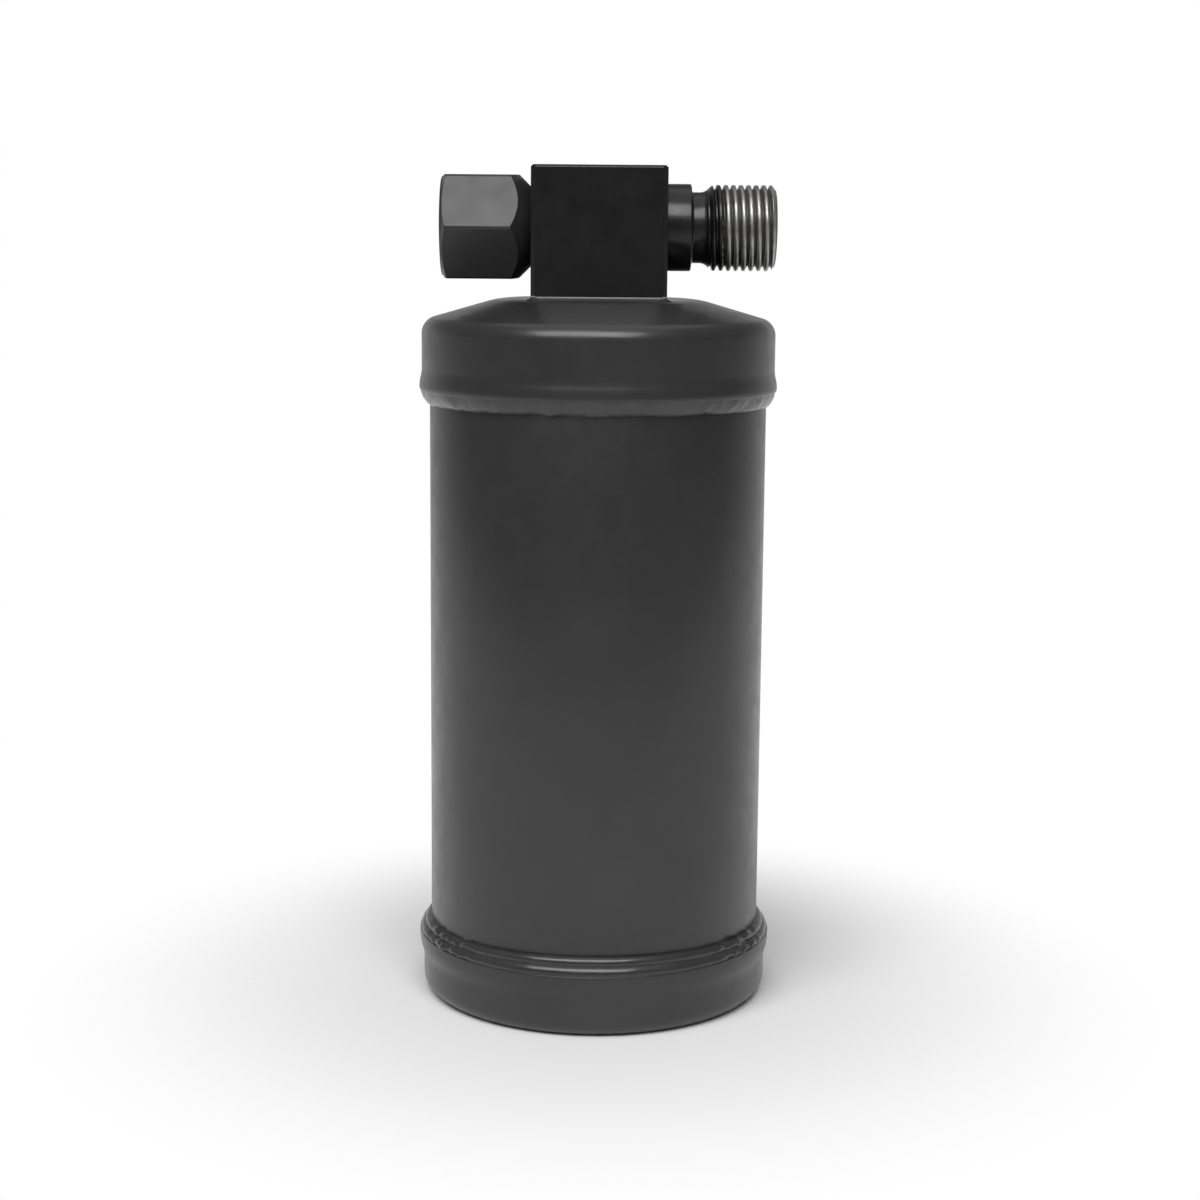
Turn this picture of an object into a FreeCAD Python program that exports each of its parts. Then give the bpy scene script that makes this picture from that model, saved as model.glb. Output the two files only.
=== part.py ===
import FreeCAD, Part
import math
import os
import re
import Sketcher

# Refrigerant filter drier
# A steel tube closed by two pressed caps, a square head block with two ports,
# a swivel nut on the inlet stub, a male threaded outlet, and the drying pack inside.
# Origin: centre of the base, on the can's axis. +Z is up, the fittings lie along X.
# Lengths are millimetres, angles degrees.

SIZES = [
    # Can
    ("tube_radius", 31.75, "outside radius of the can's tube"),
    ("tube_wall", 1.5, "wall of the tube"),
    ("tube_foot", 4.5, "height of the tube's lower end above the base"),
    ("tube_length", 121.0, "length of the tube"),
    ("cap_wall", 1.4, "sheet thickness of both caps"),
    ("cap_slip", 0.1, "gap between cap and tube, on the radius"),
    ("lip_edge", 0.5, "chamfer on the caps' cut edges"),
    # Bottom cap
    ("bottom_cap_height", 12.0, "base to the rim of the bottom cap"),
    ("bottom_corner", 3.2, "outside radius between base and side"),
    ("bottom_flare_depth", 0.75, "how far the bottom rim stands out"),
    ("bottom_flare_run", 2.1, "height over which the bottom rim flares"),
    ("bottom_lip_height", 2.5, "straight lip above the bottom flare"),
    # Top cap
    ("top_cap_height", 17.4, "rim to crown of the top cap"),
    ("top_cap_lap", 9.4, "how far the top cap covers the tube"),
    ("crown_edge", 0.03, "crown left flat outside the corners of the block's braze"),
    ("cone_angle", 16.2, "fall of the cone below the crown"),
    ("shoulder_radius", 2.5, "outside radius between cone and side"),
    ("top_flare_depth", 0.45, "how far the top rim stands out"),
    ("top_flare_run", 1.6, "height over which the top rim flares"),
    ("top_lip_height", 1.9, "straight lip below the top flare"),
    # Welds on the can
    ("upper_weld_height", 2.25, "height of the fillet under the top cap"),
    ("upper_weld_depth", 1.35, "depth of the fillet at the top rim"),
    ("upper_weld_crown", 3.0, "radius of the fillet's rounded face"),
    ("lower_weld_height", 3.6, "height of the bead above the bottom rim"),
    ("lower_weld_depth", 1.65, "depth of the bead at the bottom rim"),
    ("lower_waist_height", 1.9, "height of the groove between its two ridges"),
    ("lower_waist_depth", 1.15, "depth of the bead at that groove"),
    ("lower_ridge_radius", 1.35, "radius of each ridge"),
    # Head block
    ("block_width", 25.0, "width of the square head block"),
    ("block_height", 24.35, "crown of the cap to the top of the block"),
    ("block_edge", 0.4, "chamfer on the block's edges"),
    ("fitting_rise", 13.2, "crown of the cap to the axis of the fittings"),
    ("spigot_shoulder", 2.0, "how far the block stands out past its spigot"),
    ("spigot_reach", 1.0, "how far the spigot comes through the cap"),
    ("braze_gap", 0.05, "gap of a brazed joint, on the radius"),
    ("braze_leg", 0.7, "leg of the fillet round the block's foot"),
    ("passage_radius", 3.5, "cross drillings in the block"),
    ("drop_radius", 2.0, "drilling that lets the inflow into the can"),
    # Inlet stub
    ("stub_seat_radius", 5.0, "end of the stub inside the block"),
    ("stub_seat_depth", 3.0, "how deep it goes into the block"),
    ("stub_radius", 4.76, "outside of the stub's tube, 3/8 inch"),
    ("stub_bore", 2.8, "flow bore of the stub"),
    ("bump_radius", 6.4, "collar that holds the nut"),
    ("bump_width", 1.9, "width of that collar"),
    ("bump_edge", 0.5, "chamfer on that collar"),
    ("groove_radius", 3.6, "floor of the seal groove"),
    ("groove_width", 1.95, "width of the seal groove"),
    ("pilot_radius", 3.95, "pilot that enters the mating fitting"),
    ("pilot_land", 3.5, "length of the pilot's cylinder"),
    ("pilot_nose", 0.6, "chamfer on the pilot's nose"),
    ("seal_section", 0.89, "section radius of the O-ring"),
    ("seal_gap", 0.02, "gap between the O-ring and its groove's floor"),
    # Swivel nut
    ("nut_across_flats", 19.05, "3/4 inch hexagon"),
    ("nut_length", 16.6, "length of the nut"),
    ("nut_gap", 0.3, "gap between nut and block"),
    ("nut_back_radius", 7.4, "small end of the nut's conical back"),
    ("nut_back_angle", 45.0, "slope of that cone to the axis"),
    ("nut_face_radius", 9.6, "flat face at the nut's mouth"),
    ("nut_face_angle", 30.0, "corner chamfer to the face"),
    ("nut_web", 4.1, "thickness of the web behind the thread"),
    ("nut_bore_gap", 0.2, "running gap on the stub, on the radius"),
    ("nut_end_float", 0.2, "gap between the web and the stub's collar"),
    ("nut_thread_length", 11.0, "mouth to the end of the nut's thread"),
    ("nut_relief", 0.25, "depth of the relief behind the thread"),
    ("nut_mouth", 0.6, "lead-in chamfer of the thread"),
    # Outlet fitting
    ("thread_radius", 7.9375, "5/8-18 thread, half of its outside diameter"),
    ("thread_length", 12.1, "length of the male thread"),
    ("thread_chamfer", 0.7, "chamfer on the end of the thread"),
    ("runout_length", 1.2, "cone between neck and thread"),
    ("neck_radius", 6.55, "relieved neck behind the thread"),
    ("neck_length", 2.4, "length of the neck"),
    ("collar_radius", 8.05, "collar against the block"),
    ("collar_length", 4.6, "length of the collar"),
    ("collar_edge", 0.3, "chamfer on the collar"),
    ("outlet_seat_radius", 6.0, "end of the fitting inside the block"),
    ("outlet_seat_depth", 6.0, "how deep it goes into the block"),
    ("outlet_bore", 4.05, "bore that receives the mating pilot"),
    ("seal_mouth", 1.6, "45 degree seat for the mating O-ring"),
    # Pickup tube and strainer
    ("pickup_radius", 4.0, "outside of the pickup tube"),
    ("pickup_wall", 0.8, "wall of the pickup tube"),
    ("pickup_dip", 1.3, "how far its lower end stands inside the cage"),
    ("pickup_seat_depth", 9.0, "how deep it goes into the block"),
    ("pickup_braze_leg", 1.0, "leg of the braze fillet under the block"),
    ("strainer_radius", 8.0, "outside of the strainer's cage"),
    ("strainer_wall", 0.6, "wall of the cage"),
    ("strainer_height", 7.0, "height of the cage"),
    ("strainer_plate", 1.0, "floor and roof of the cage"),
    ("strainer_rise", 0.9, "gap between the cage and the bottom cap"),
    ("strainer_neck", 2.0, "length of the neck that grips the tube"),
    ("strainer_neck_wall", 1.2, "wall of that neck"),
    ("strainer_fit", 0.05, "gap round the tube and the screen"),
    ("rib_width", 0.6, "width of the ribs between the windows, at the cage's bore"),
    ("window_count", 6, "windows round the cage"),
    ("screen_thickness", 0.3, "thickness of the screen"),
    # Drying pack
    ("support_gap", 2.05, "gap between the ring that carries the pack and the cap's rounded corner"),
    ("support_wall", 1.0, "sheet thickness of that ring"),
    ("support_height", 11.5, "height of that ring"),
    ("support_flange", 3.5, "width of its flange"),
    ("notch_width", 8.0, "flow notch in the ring's foot"),
    ("notch_height", 3.0, "height of a notch"),
    ("notch_count", 6, "notches round the ring"),
    ("plate_thickness", 1.0, "sheet thickness of the perforated plates"),
    ("plate_rim", 2.5, "depth of the plates' turned rim"),
    ("plate_gap", 0.1, "gap between plate and tube"),
    ("hole_radius", 2.4, "perforation, centre to flat"),
    ("hole_edge", 0.8, "plate between the last ring of holes and the flange it rests on"),
    ("hole_ring_count", 2, "rings of holes"),
    ("holes_each_ring", 6, "holes in the first ring, and more in each further one"),
    ("pack_gap", 0.1, "gap round the pads and the beads"),
    ("pad_thickness", 4.0, "thickness of a filter pad"),
    ("bed_height", 76.0, "height of the bead bed"),
    ("wire_radius", 1.1, "half of the spring's wire, across its flats"),
    ("coil_gap", 2.4, "gap between the spring and the block's spigot"),
    ("coil_turns", 4, "turns of the spring"),
]

# Places and sizes that follow from the sizes above
DERIVED = {
    "tube_top": "tube_foot + tube_length",
    "tube_bore": "tube_radius - tube_wall",
    "cap_bore": "tube_radius + cap_slip",
    "cap_radius": "cap_bore + cap_wall",
    "block_face": "block_width / 2",
    "crown_radius": "(block_face + braze_leg) * sqrt(2) + crown_edge",
    "top_rim": "tube_top - top_cap_lap",
    "crown_top": "top_rim + top_cap_height",
    "crown_under": "crown_top - cap_wall",
    "shoulder_across": "cap_radius - shoulder_radius",
    "shoulder_fall": "(shoulder_across - crown_radius) * sin(cone_angle * 1deg)",
    "shoulder_up": "crown_top - (shoulder_radius + shoulder_fall) / cos(cone_angle * 1deg)",
    "inner_shoulder": "shoulder_radius - cap_wall",
    "top_flare_start": "top_rim + top_lip_height + top_flare_run",
    "bottom_flare_end": "bottom_cap_height - bottom_lip_height",
    "fitting_height": "crown_top + fitting_rise",
    "spigot_radius": "block_face - spigot_shoulder",
    "spigot_foot": "crown_under - spigot_reach",
    "drop_offset": "(pickup_radius + braze_gap + spigot_radius) / 2",
    "nut_back": "block_face + nut_gap",
    "nut_shoulder": "nut_back + nut_web",
    "nut_front": "nut_back + nut_length",
    "nut_blank": "nut_across_flats * 0.6",
    "bump_start": "nut_shoulder + nut_end_float",
    "bump_end": "bump_start + bump_width",
    "groove_end": "bump_end + groove_width",
    "land_end": "groove_end + pilot_land",
    "nose_end": "land_end + pilot_nose",
    "collar_end": "block_face + collar_length",
    "neck_end": "collar_end + neck_length",
    "thread_start": "neck_end + runout_length",
    "thread_end": "thread_start + thread_length",
    "pickup_top": "spigot_foot + pickup_seat_depth",
    "cage_floor": "cap_wall + strainer_rise",
    "cage_roof": "cage_floor + strainer_height",
    "cage_bore": "strainer_radius - strainer_wall",
    "window_width": "2 * cage_bore * sin(180deg / window_count) - rib_width",
    "pickup_foot": "cage_roof - strainer_plate - pickup_dip",
    "neck_bore": "pickup_radius + strainer_fit",
    "support_radius": "cap_radius - bottom_corner - support_gap",
    "support_top": "cap_wall + support_height",
    "plate_radius": "tube_bore - plate_gap",
    "hole_ring_last": "support_radius - support_flange - hole_edge - hole_radius",
    "hole_ring_step": "hole_ring_last / hole_ring_count",
    "lower_pad_foot": "support_top + plate_thickness",
    "bed_foot": "lower_pad_foot + pad_thickness",
    "bed_top": "bed_foot + bed_height",
    "upper_plate_foot": "bed_top + pad_thickness",
    "spring_foot": "upper_plate_foot + plate_thickness",
    "pack_radius": "tube_bore - pack_gap",
    "pack_bore": "pickup_radius + pack_gap",
    "coil_radius": "spigot_radius + coil_gap + wire_radius",
}

doc = FreeCAD.newDocument("filter_drier")
sheet = doc.addObject("Spreadsheet::Sheet", "Sizes")
for row, (alias, value, note) in enumerate(SIZES, start=1):
    sheet.set(f"A{row}", alias)
    sheet.set(f"B{row}", str(value))
    sheet.set(f"C{row}", note)
    sheet.setAlias(f"B{row}", alias)
doc.recompute()


def bound(text):
    """Write a formula in the sheet's words: derived names are put in, sheet names get the sheet's name."""

    def spelled(match):
        word = match.group()
        if word in DERIVED:
            return f"({bound(DERIVED[word])})"
        return f"Sizes.{word}"

    return re.sub(r"[a-z]+(?:_[a-z]+)+", spelled, text)


def number(text):
    """The present value of a formula."""
    value = sheet.evalExpression(bound(text))
    return float(getattr(value, "Value", value))


def new_body(label):
    body = doc.addObject("PartDesign::Body", label)
    body.Label = label
    return body


def fitting_body(label, turn):
    """A body whose own Z axis lies along the fittings: turn is 90 for +X and -90 for -X."""
    body = new_body(label)
    rotation = FreeCAD.Rotation(FreeCAD.Vector(0, 1, 0), turn)
    body.Placement = FreeCAD.Placement(FreeCAD.Vector(), rotation)
    body.setExpression("Placement.Base.z", bound("fitting_height"))
    return body


def sketch_on(body, role, name, height=None):
    """A sketch on one of the body's own origin planes, raised along its normal by a formula."""
    sketch = body.newObject("Sketcher::SketchObject", name)
    plane = next(item for item in body.Origin.OriginFeatures if item.Role == role)
    sketch.AttachmentSupport = [(plane, "")]
    sketch.MapMode = "FlatFace"
    if height:
        sketch.setExpression("AttachmentOffset.Base.z", bound(height))
    return sketch


def dimension(sketch, kind, text, *place):
    """One sketch dimension, held to a formula."""
    index = sketch.addConstraint(Sketcher.Constraint(kind, *place, number(text)))
    sketch.setExpression(f"Constraints[{index}]", bound(text))


def pin_point(sketch, edge, vertex, across, up):
    """Hold one end of an edge at a place given from the sketch's origin."""
    for kind, text, axis in (("DistanceX", across, -2), ("DistanceY", up, -1)):
        if text == "0":
            sketch.addConstraint(Sketcher.Constraint("PointOnObject", edge, vertex, axis))
        else:
            dimension(sketch, kind, text, -1, 1, edge, vertex)


def arc_edge(here, there, radius, side):
    """The short arc from here to there that bulges to one side, and the vertex numbers of its ends."""
    chord = there - here
    across = FreeCAD.Vector(-chord.y, chord.x, 0).normalize()
    inward = across if side == "right" else -across
    rise = math.sqrt(radius**2 - (chord.Length / 2) ** 2)
    centre = (here + there) * 0.5 + inward * rise
    first, last = (here, there) if side == "right" else (there, here)
    start = math.atan2(first.y - centre.y, first.x - centre.x)
    end = math.atan2(last.y - centre.y, last.x - centre.x)
    if end < start:
        end += 2 * math.pi
    circle = Part.Circle(centre, FreeCAD.Vector(0, 0, 1), radius)
    vertices = (1, 2) if side == "right" else (2, 1)
    return Part.ArcOfCircle(circle, start, end), vertices


def outline(sketch, corners):
    """Draw a closed outline.

    Each corner is (across, up), or (across, up, radius, side) where an arc leads on to the next.
    """
    points = [FreeCAD.Vector(number(corner[0]), number(corner[1]), 0) for corner in corners]
    first_edge = sketch.GeometryCount
    ends = []
    for index, corner in enumerate(corners):
        here = points[index]
        there = points[(index + 1) % len(points)]
        if len(corner) == 2:
            edge = Part.LineSegment(here, there)
            vertices = (1, 2)
        else:
            edge, vertices = arc_edge(here, there, number(corner[2]), corner[3])
        sketch.addGeometry(edge, False)
        ends.append(vertices)
    for index, corner in enumerate(corners):
        edge = first_edge + index
        before = first_edge + (index - 1) % len(corners)
        start = ends[index][0]
        sketch.addConstraint(Sketcher.Constraint("Coincident", before, ends[index - 1][1], edge, start))
        pin_point(sketch, edge, start, corner[0], corner[1])
        if len(corner) == 4:
            dimension(sketch, "Radius", corner[2], edge)


def circle(sketch, across, up, radius):
    """Draw a circle whose centre and radius are formulas."""
    edge = sketch.GeometryCount
    centre = FreeCAD.Vector(number(across), number(up), 0)
    sketch.addGeometry(Part.Circle(centre, FreeCAD.Vector(0, 0, 1), number(radius)), False)
    dimension(sketch, "Radius", radius, edge)
    if across == "0" and up == "0":
        sketch.addConstraint(Sketcher.Constraint("Coincident", edge, 3, -1, 1))
    else:
        pin_point(sketch, edge, 3, across, up)


def revolve(body, name, sketch):
    turned = body.newObject("PartDesign::Revolution", name)
    turned.Profile = sketch
    turned.ReferenceAxis = (sketch, ["V_Axis"])
    turned.Angle = 360
    sketch.Visibility = False
    return turned


def turn(body, corners):
    """Turn an outline, given as (radius, height) corners, about the body's Z axis."""
    sketch = sketch_on(body, "XZ_Plane", body.Label + "_outline")
    outline(sketch, corners)
    return revolve(body, body.Label + "_turned", sketch)


def pad(body, sketch, name, length):
    block = body.newObject("PartDesign::Pad", name)
    block.Profile = sketch
    block.setExpression("Length", bound(length))
    return block


def pocket(body, sketch, name, length, forward):
    """Cut a sketch into the body, along the sketch's normal when forward is true."""
    cut = body.newObject("PartDesign::Pocket", name)
    cut.Profile = sketch
    cut.setExpression("Length", bound(length))
    cut.Reversed = forward
    return cut


def repeat(body, sketch, axis, feature, name, count):
    """Repeat a feature round one of its sketch's axes."""
    pattern = body.newObject("PartDesign::PolarPattern", name)
    pattern.Originals = [feature]
    pattern.Axis = (sketch, [axis])
    pattern.Angle = 360
    pattern.setExpression("Occurrences", bound(count))
    body.Tip = pattern


def chamfer_above(body, feature, name, height, size):
    """Chamfer each edge of a feature whose middle is above a height."""
    doc.recompute()
    floor = number(height) + 1e-6
    edges = []
    for index, edge in enumerate(feature.Shape.Edges, start=1):
        if edge.CenterOfMass.z > floor:
            edges.append(f"Edge{index}")
    chamfer = body.newObject("PartDesign::Chamfer", name)
    chamfer.Base = (feature, edges)
    chamfer.setExpression("Size", bound(size))


TURN_TO = {
    "+X": FreeCAD.Rotation(FreeCAD.Vector(0, 1, 0), 90),
    "-X": FreeCAD.Rotation(FreeCAD.Vector(0, 1, 0), -90),
    "+Z": FreeCAD.Rotation(),
}


def cylinder(body, kind, name, radius, length, place, direction):
    """Add or subtract a cylinder that starts at a place, given as three formulas."""
    solid = body.newObject(kind, name)
    solid.Placement = FreeCAD.Placement(FreeCAD.Vector(), TURN_TO[direction])
    solid.setExpression("Radius", bound(radius))
    solid.setExpression("Height", bound(length))
    for axis, text in zip("xyz", place):
        if text != "0":
            solid.setExpression(f"Placement.Base.{axis}", bound(text))
    return solid


def drill(body, name, radius, length, place, direction):
    return cylinder(body, "PartDesign::SubtractiveCylinder", name, radius, length, place, direction)


def square(sketch, half):
    outline(sketch, [("-" + half, "-" + half), (half, "-" + half), (half, half), ("-" + half, half)])


def hexagon(sketch, across, up, flat, first_angle):
    """Draw a hexagon round a centre: flat is the distance to its sides, first_angle leads to a corner."""
    corner = f"{flat} / cos(30deg)"
    angles = [first_angle + 60 * step for step in range(6)]
    outline(
        sketch,
        [(f"{across} + {corner} * cos({angle}deg)", f"{up} + {corner} * sin({angle}deg)") for angle in angles],
    )


# Tube of the can: open at both ends, which stand inside the caps
def make_body_tube():
    turn(
        new_body("body_tube"),
        [
            ("tube_bore", "tube_foot"),
            ("tube_radius", "tube_foot"),
            ("tube_radius", "tube_top"),
            ("tube_bore", "tube_top"),
        ],
    )


# Bottom cap: flat base, rounded corner, straight side and a rim that flares away from the tube
def make_bottom_cap():
    turn(
        new_body("bottom_cap"),
        [
            ("0", "0"),
            ("cap_radius - bottom_corner", "0", "bottom_corner", "right"),
            ("cap_radius", "bottom_corner"),
            ("cap_radius", "bottom_flare_end - bottom_flare_run"),
            ("cap_radius + bottom_flare_depth", "bottom_flare_end"),
            ("cap_radius + bottom_flare_depth", "bottom_cap_height - lip_edge"),
            ("cap_radius + bottom_flare_depth - lip_edge", "bottom_cap_height"),
            ("cap_bore + bottom_flare_depth", "bottom_cap_height"),
            ("cap_bore + bottom_flare_depth", "bottom_flare_end"),
            ("cap_bore", "bottom_flare_end - bottom_flare_run"),
            ("cap_bore", "bottom_corner", "bottom_corner - cap_wall", "left"),
            ("cap_radius - bottom_corner", "cap_wall"),
            ("0", "cap_wall"),
        ],
    )


# Top cap: flat crown with a hole for the block's spigot, cone, rounded shoulder, side and flared rim
def make_top_cap():
    hole = "spigot_radius + braze_gap"
    inner_crown = "crown_radius - cap_wall * tan(cone_angle * 0.5deg)"
    lip_end = "top_rim + top_lip_height"
    turn(
        new_body("top_cap"),
        [
            (hole, "crown_under"),
            (inner_crown, "crown_under"),
            (
                "shoulder_across + inner_shoulder * sin(cone_angle * 1deg)",
                "shoulder_up + inner_shoulder * cos(cone_angle * 1deg)",
                "inner_shoulder",
                "left",
            ),
            ("cap_bore", "shoulder_up"),
            ("cap_bore", "top_flare_start"),
            ("cap_bore + top_flare_depth", lip_end),
            ("cap_bore + top_flare_depth", "top_rim"),
            ("cap_radius + top_flare_depth - lip_edge", "top_rim"),
            ("cap_radius + top_flare_depth", "top_rim + lip_edge"),
            ("cap_radius + top_flare_depth", lip_end),
            ("cap_radius", "top_flare_start"),
            ("cap_radius", "shoulder_up", "shoulder_radius", "right"),
            (
                "shoulder_across + shoulder_radius * sin(cone_angle * 1deg)",
                "shoulder_up + shoulder_radius * cos(cone_angle * 1deg)",
            ),
            ("crown_radius", "crown_top"),
            (hole, "crown_top"),
        ],
    )


# Weld fillet between the top cap's rim and the tube
def make_upper_weld():
    turn(
        new_body("upper_weld"),
        [
            ("tube_radius", "top_rim - upper_weld_height", "upper_weld_crown", "right"),
            ("tube_radius + upper_weld_depth", "top_rim"),
            ("tube_radius", "top_rim"),
        ],
    )


# Weld bead between the bottom cap's rim and the tube: two ridges with a groove between them
def make_lower_weld():
    waist = "bottom_cap_height + lower_waist_height"
    turn(
        new_body("lower_weld"),
        [
            ("tube_radius", "bottom_cap_height"),
            ("tube_radius + lower_weld_depth", "bottom_cap_height", "lower_ridge_radius", "right"),
            ("tube_radius + lower_waist_depth", waist, "lower_ridge_radius", "right"),
            ("tube_radius", "bottom_cap_height + lower_weld_height"),
        ],
    )


# Head block: square bar on the crown, located by a spigot, with the drillings that join ports and can
def make_head_block():
    body = new_body("head_block")
    foot = sketch_on(body, "XY_Plane", "block_outline", "crown_top")
    square(foot, "block_face")
    bar = pad(body, foot, "block_bar", "block_height")
    chamfer_above(body, bar, "block_edges", "crown_top", "block_edge")
    reach = "cap_wall + spigot_reach"
    centre = ("0", "0", "spigot_foot")
    cylinder(body, "PartDesign::AdditiveCylinder", "block_spigot", "spigot_radius", reach, centre, "+Z")
    inlet_face = ("-block_face", "0", "fitting_height")
    outlet_face = ("block_face", "0", "fitting_height")
    drop_place = ("-drop_offset", "0", "spigot_foot")
    drill(body, "inlet_seat", "stub_seat_radius + braze_gap", "stub_seat_depth", inlet_face, "+X")
    inlet_depth = "block_face - drop_offset + drop_radius"
    drill(body, "inlet_passage", "passage_radius", inlet_depth, inlet_face, "+X")
    drill(body, "inlet_drop", "drop_radius", "fitting_height - spigot_foot", drop_place, "+Z")
    drill(body, "outlet_seat", "outlet_seat_radius + braze_gap", "outlet_seat_depth", outlet_face, "-X")
    drill(body, "outlet_passage", "passage_radius", "block_face", outlet_face, "-X")
    drill(body, "pickup_seat", "pickup_radius + braze_gap", "pickup_seat_depth", centre, "+Z")
    drill(body, "riser", "pickup_radius - pickup_wall", "fitting_height - spigot_foot", centre, "+Z")


# Braze fillet round the foot of the block: a square ring with a sloping face
def make_block_braze():
    body = new_body("block_braze")
    foot = sketch_on(body, "XY_Plane", "braze_outline", "crown_top")
    square(foot, "(block_face + braze_leg)")
    slab = pad(body, foot, "braze_slab", "braze_leg")
    chamfer_above(body, slab, "braze_slope", "crown_top + braze_leg / 2", "braze_leg * 0.8")
    hole = sketch_on(body, "XY_Plane", "braze_hole", "crown_top")
    square(hole, "block_face")
    pocket(body, hole, "braze_opening", "braze_leg", True)


# Inlet stub: brazed end, tube, collar that holds the nut, seal groove and pilot
def make_inlet_stub():
    seat = "block_face - stub_seat_depth"
    turn(
        fitting_body("inlet_stub", -90),
        [
            ("stub_bore", seat),
            ("stub_seat_radius", seat),
            ("stub_seat_radius", "block_face"),
            ("stub_radius", "block_face"),
            ("stub_radius", "bump_start"),
            ("bump_radius - bump_edge", "bump_start"),
            ("bump_radius", "bump_start + bump_edge"),
            ("bump_radius", "bump_end - bump_edge"),
            ("bump_radius - bump_edge", "bump_end"),
            ("groove_radius", "bump_end"),
            ("groove_radius", "groove_end"),
            ("pilot_radius", "groove_end"),
            ("pilot_radius", "land_end"),
            ("pilot_radius - pilot_nose", "nose_end"),
            ("stub_bore", "nose_end"),
        ],
    )


# O-ring in the stub's groove
def make_inlet_seal():
    body = fitting_body("inlet_o_ring", -90)
    sketch = sketch_on(body, "XZ_Plane", "seal_section_circle")
    circle(sketch, "groove_radius + seal_gap + seal_section", "bump_end + groove_width / 2", "seal_section")
    revolve(body, "seal_ring", sketch)


# Swivel nut: turned blank with a conical back, chamfered face, web, relief and thread bore,
# milled to a hexagon
def make_swivel_nut():
    body = fitting_body("swivel_nut", -90)
    cone_end = "nut_back + (nut_blank - nut_back_radius) / tan(nut_back_angle * 1deg)"
    chamfer_start = "nut_front - (nut_blank - nut_face_radius) * tan(nut_face_angle * 1deg)"
    bore = "stub_radius + nut_bore_gap"
    relief = "thread_radius + nut_relief"
    thread_end = "nut_front - nut_thread_length"
    turn(
        body,
        [
            (bore, "nut_back"),
            ("nut_back_radius", "nut_back"),
            ("nut_blank", cone_end),
            ("nut_blank", chamfer_start),
            ("nut_face_radius", "nut_front"),
            ("thread_radius + nut_mouth", "nut_front"),
            ("thread_radius", "nut_front - nut_mouth"),
            ("thread_radius", thread_end),
            (relief, thread_end),
            (relief, "nut_shoulder"),
            (bore, "nut_shoulder"),
        ],
    )
    flats = sketch_on(body, "XY_Plane", "nut_flats")
    hexagon(flats, "0", "0", "nut_across_flats / 2", 30)
    circle(flats, "0", "0", "nut_blank * 1.2")
    pocket(body, flats, "nut_hexagon", "nut_front", True)


# Outlet fitting: brazed end, collar, neck, run-out cone and male thread, bored through for the mating pilot
def make_outlet_fitting():
    seat = "block_face - outlet_seat_depth"
    turn(
        fitting_body("outlet_fitting", 90),
        [
            ("outlet_bore", seat),
            ("outlet_seat_radius", seat),
            ("outlet_seat_radius", "block_face"),
            ("collar_radius", "block_face"),
            ("collar_radius", "collar_end - collar_edge"),
            ("collar_radius - collar_edge", "collar_end"),
            ("neck_radius", "collar_end"),
            ("neck_radius", "neck_end"),
            ("thread_radius", "thread_start"),
            ("thread_radius", "thread_end - thread_chamfer"),
            ("thread_radius - thread_chamfer", "thread_end"),
            ("outlet_bore + seal_mouth", "thread_end"),
            ("outlet_bore", "thread_end - seal_mouth"),
        ],
    )


# Pickup tube: carries liquid from the can's foot to the outlet
def make_pickup_tube():
    bore = "pickup_radius - pickup_wall"
    turn(
        new_body("pickup_tube"),
        [
            (bore, "pickup_foot"),
            ("pickup_radius", "pickup_foot"),
            ("pickup_radius", "pickup_top"),
            (bore, "pickup_top"),
        ],
    )


# Braze fillet between the pickup tube and the underside of the spigot
def make_pickup_braze():
    turn(
        new_body("pickup_braze"),
        [
            ("pickup_radius", "spigot_foot - pickup_braze_leg"),
            ("pickup_radius + pickup_braze_leg", "spigot_foot"),
            ("pickup_radius", "spigot_foot"),
        ],
    )


# Strainer cage: floor, roof and neck in one moulding, with windows between its ribs
def make_strainer_frame():
    body = new_body("strainer_frame")
    neck_radius = "neck_bore + strainer_neck_wall"
    turn(
        body,
        [
            ("0", "cage_floor"),
            ("strainer_radius", "cage_floor"),
            ("strainer_radius", "cage_roof"),
            (neck_radius, "cage_roof"),
            (neck_radius, "cage_roof + strainer_neck"),
            ("neck_bore", "cage_roof + strainer_neck"),
            ("neck_bore", "cage_roof - strainer_plate"),
            ("cage_bore", "cage_roof - strainer_plate"),
            ("cage_bore", "cage_floor + strainer_plate"),
            ("0", "cage_floor + strainer_plate"),
        ],
    )
    window = sketch_on(body, "XZ_Plane", "window_outline")
    outline(
        window,
        [
            ("-window_width / 2", "cage_floor + strainer_plate"),
            ("window_width / 2", "cage_floor + strainer_plate"),
            ("window_width / 2", "cage_roof - strainer_plate"),
            ("-window_width / 2", "cage_roof - strainer_plate"),
        ],
    )
    cut = pocket(body, window, "window", "strainer_radius", True)
    repeat(body, window, "V_Axis", cut, "windows", "window_count")


# Screen: a sleeve inside the cage
def make_strainer_screen():
    outer = "cage_bore - strainer_fit"
    foot = "cage_floor + strainer_plate + strainer_fit"
    top = "cage_roof - strainer_plate - strainer_fit"
    turn(
        new_body("strainer_screen"),
        [
            (outer + " - screen_thickness", foot),
            (outer, foot),
            (outer, top),
            (outer + " - screen_thickness", top),
        ],
    )


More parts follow.
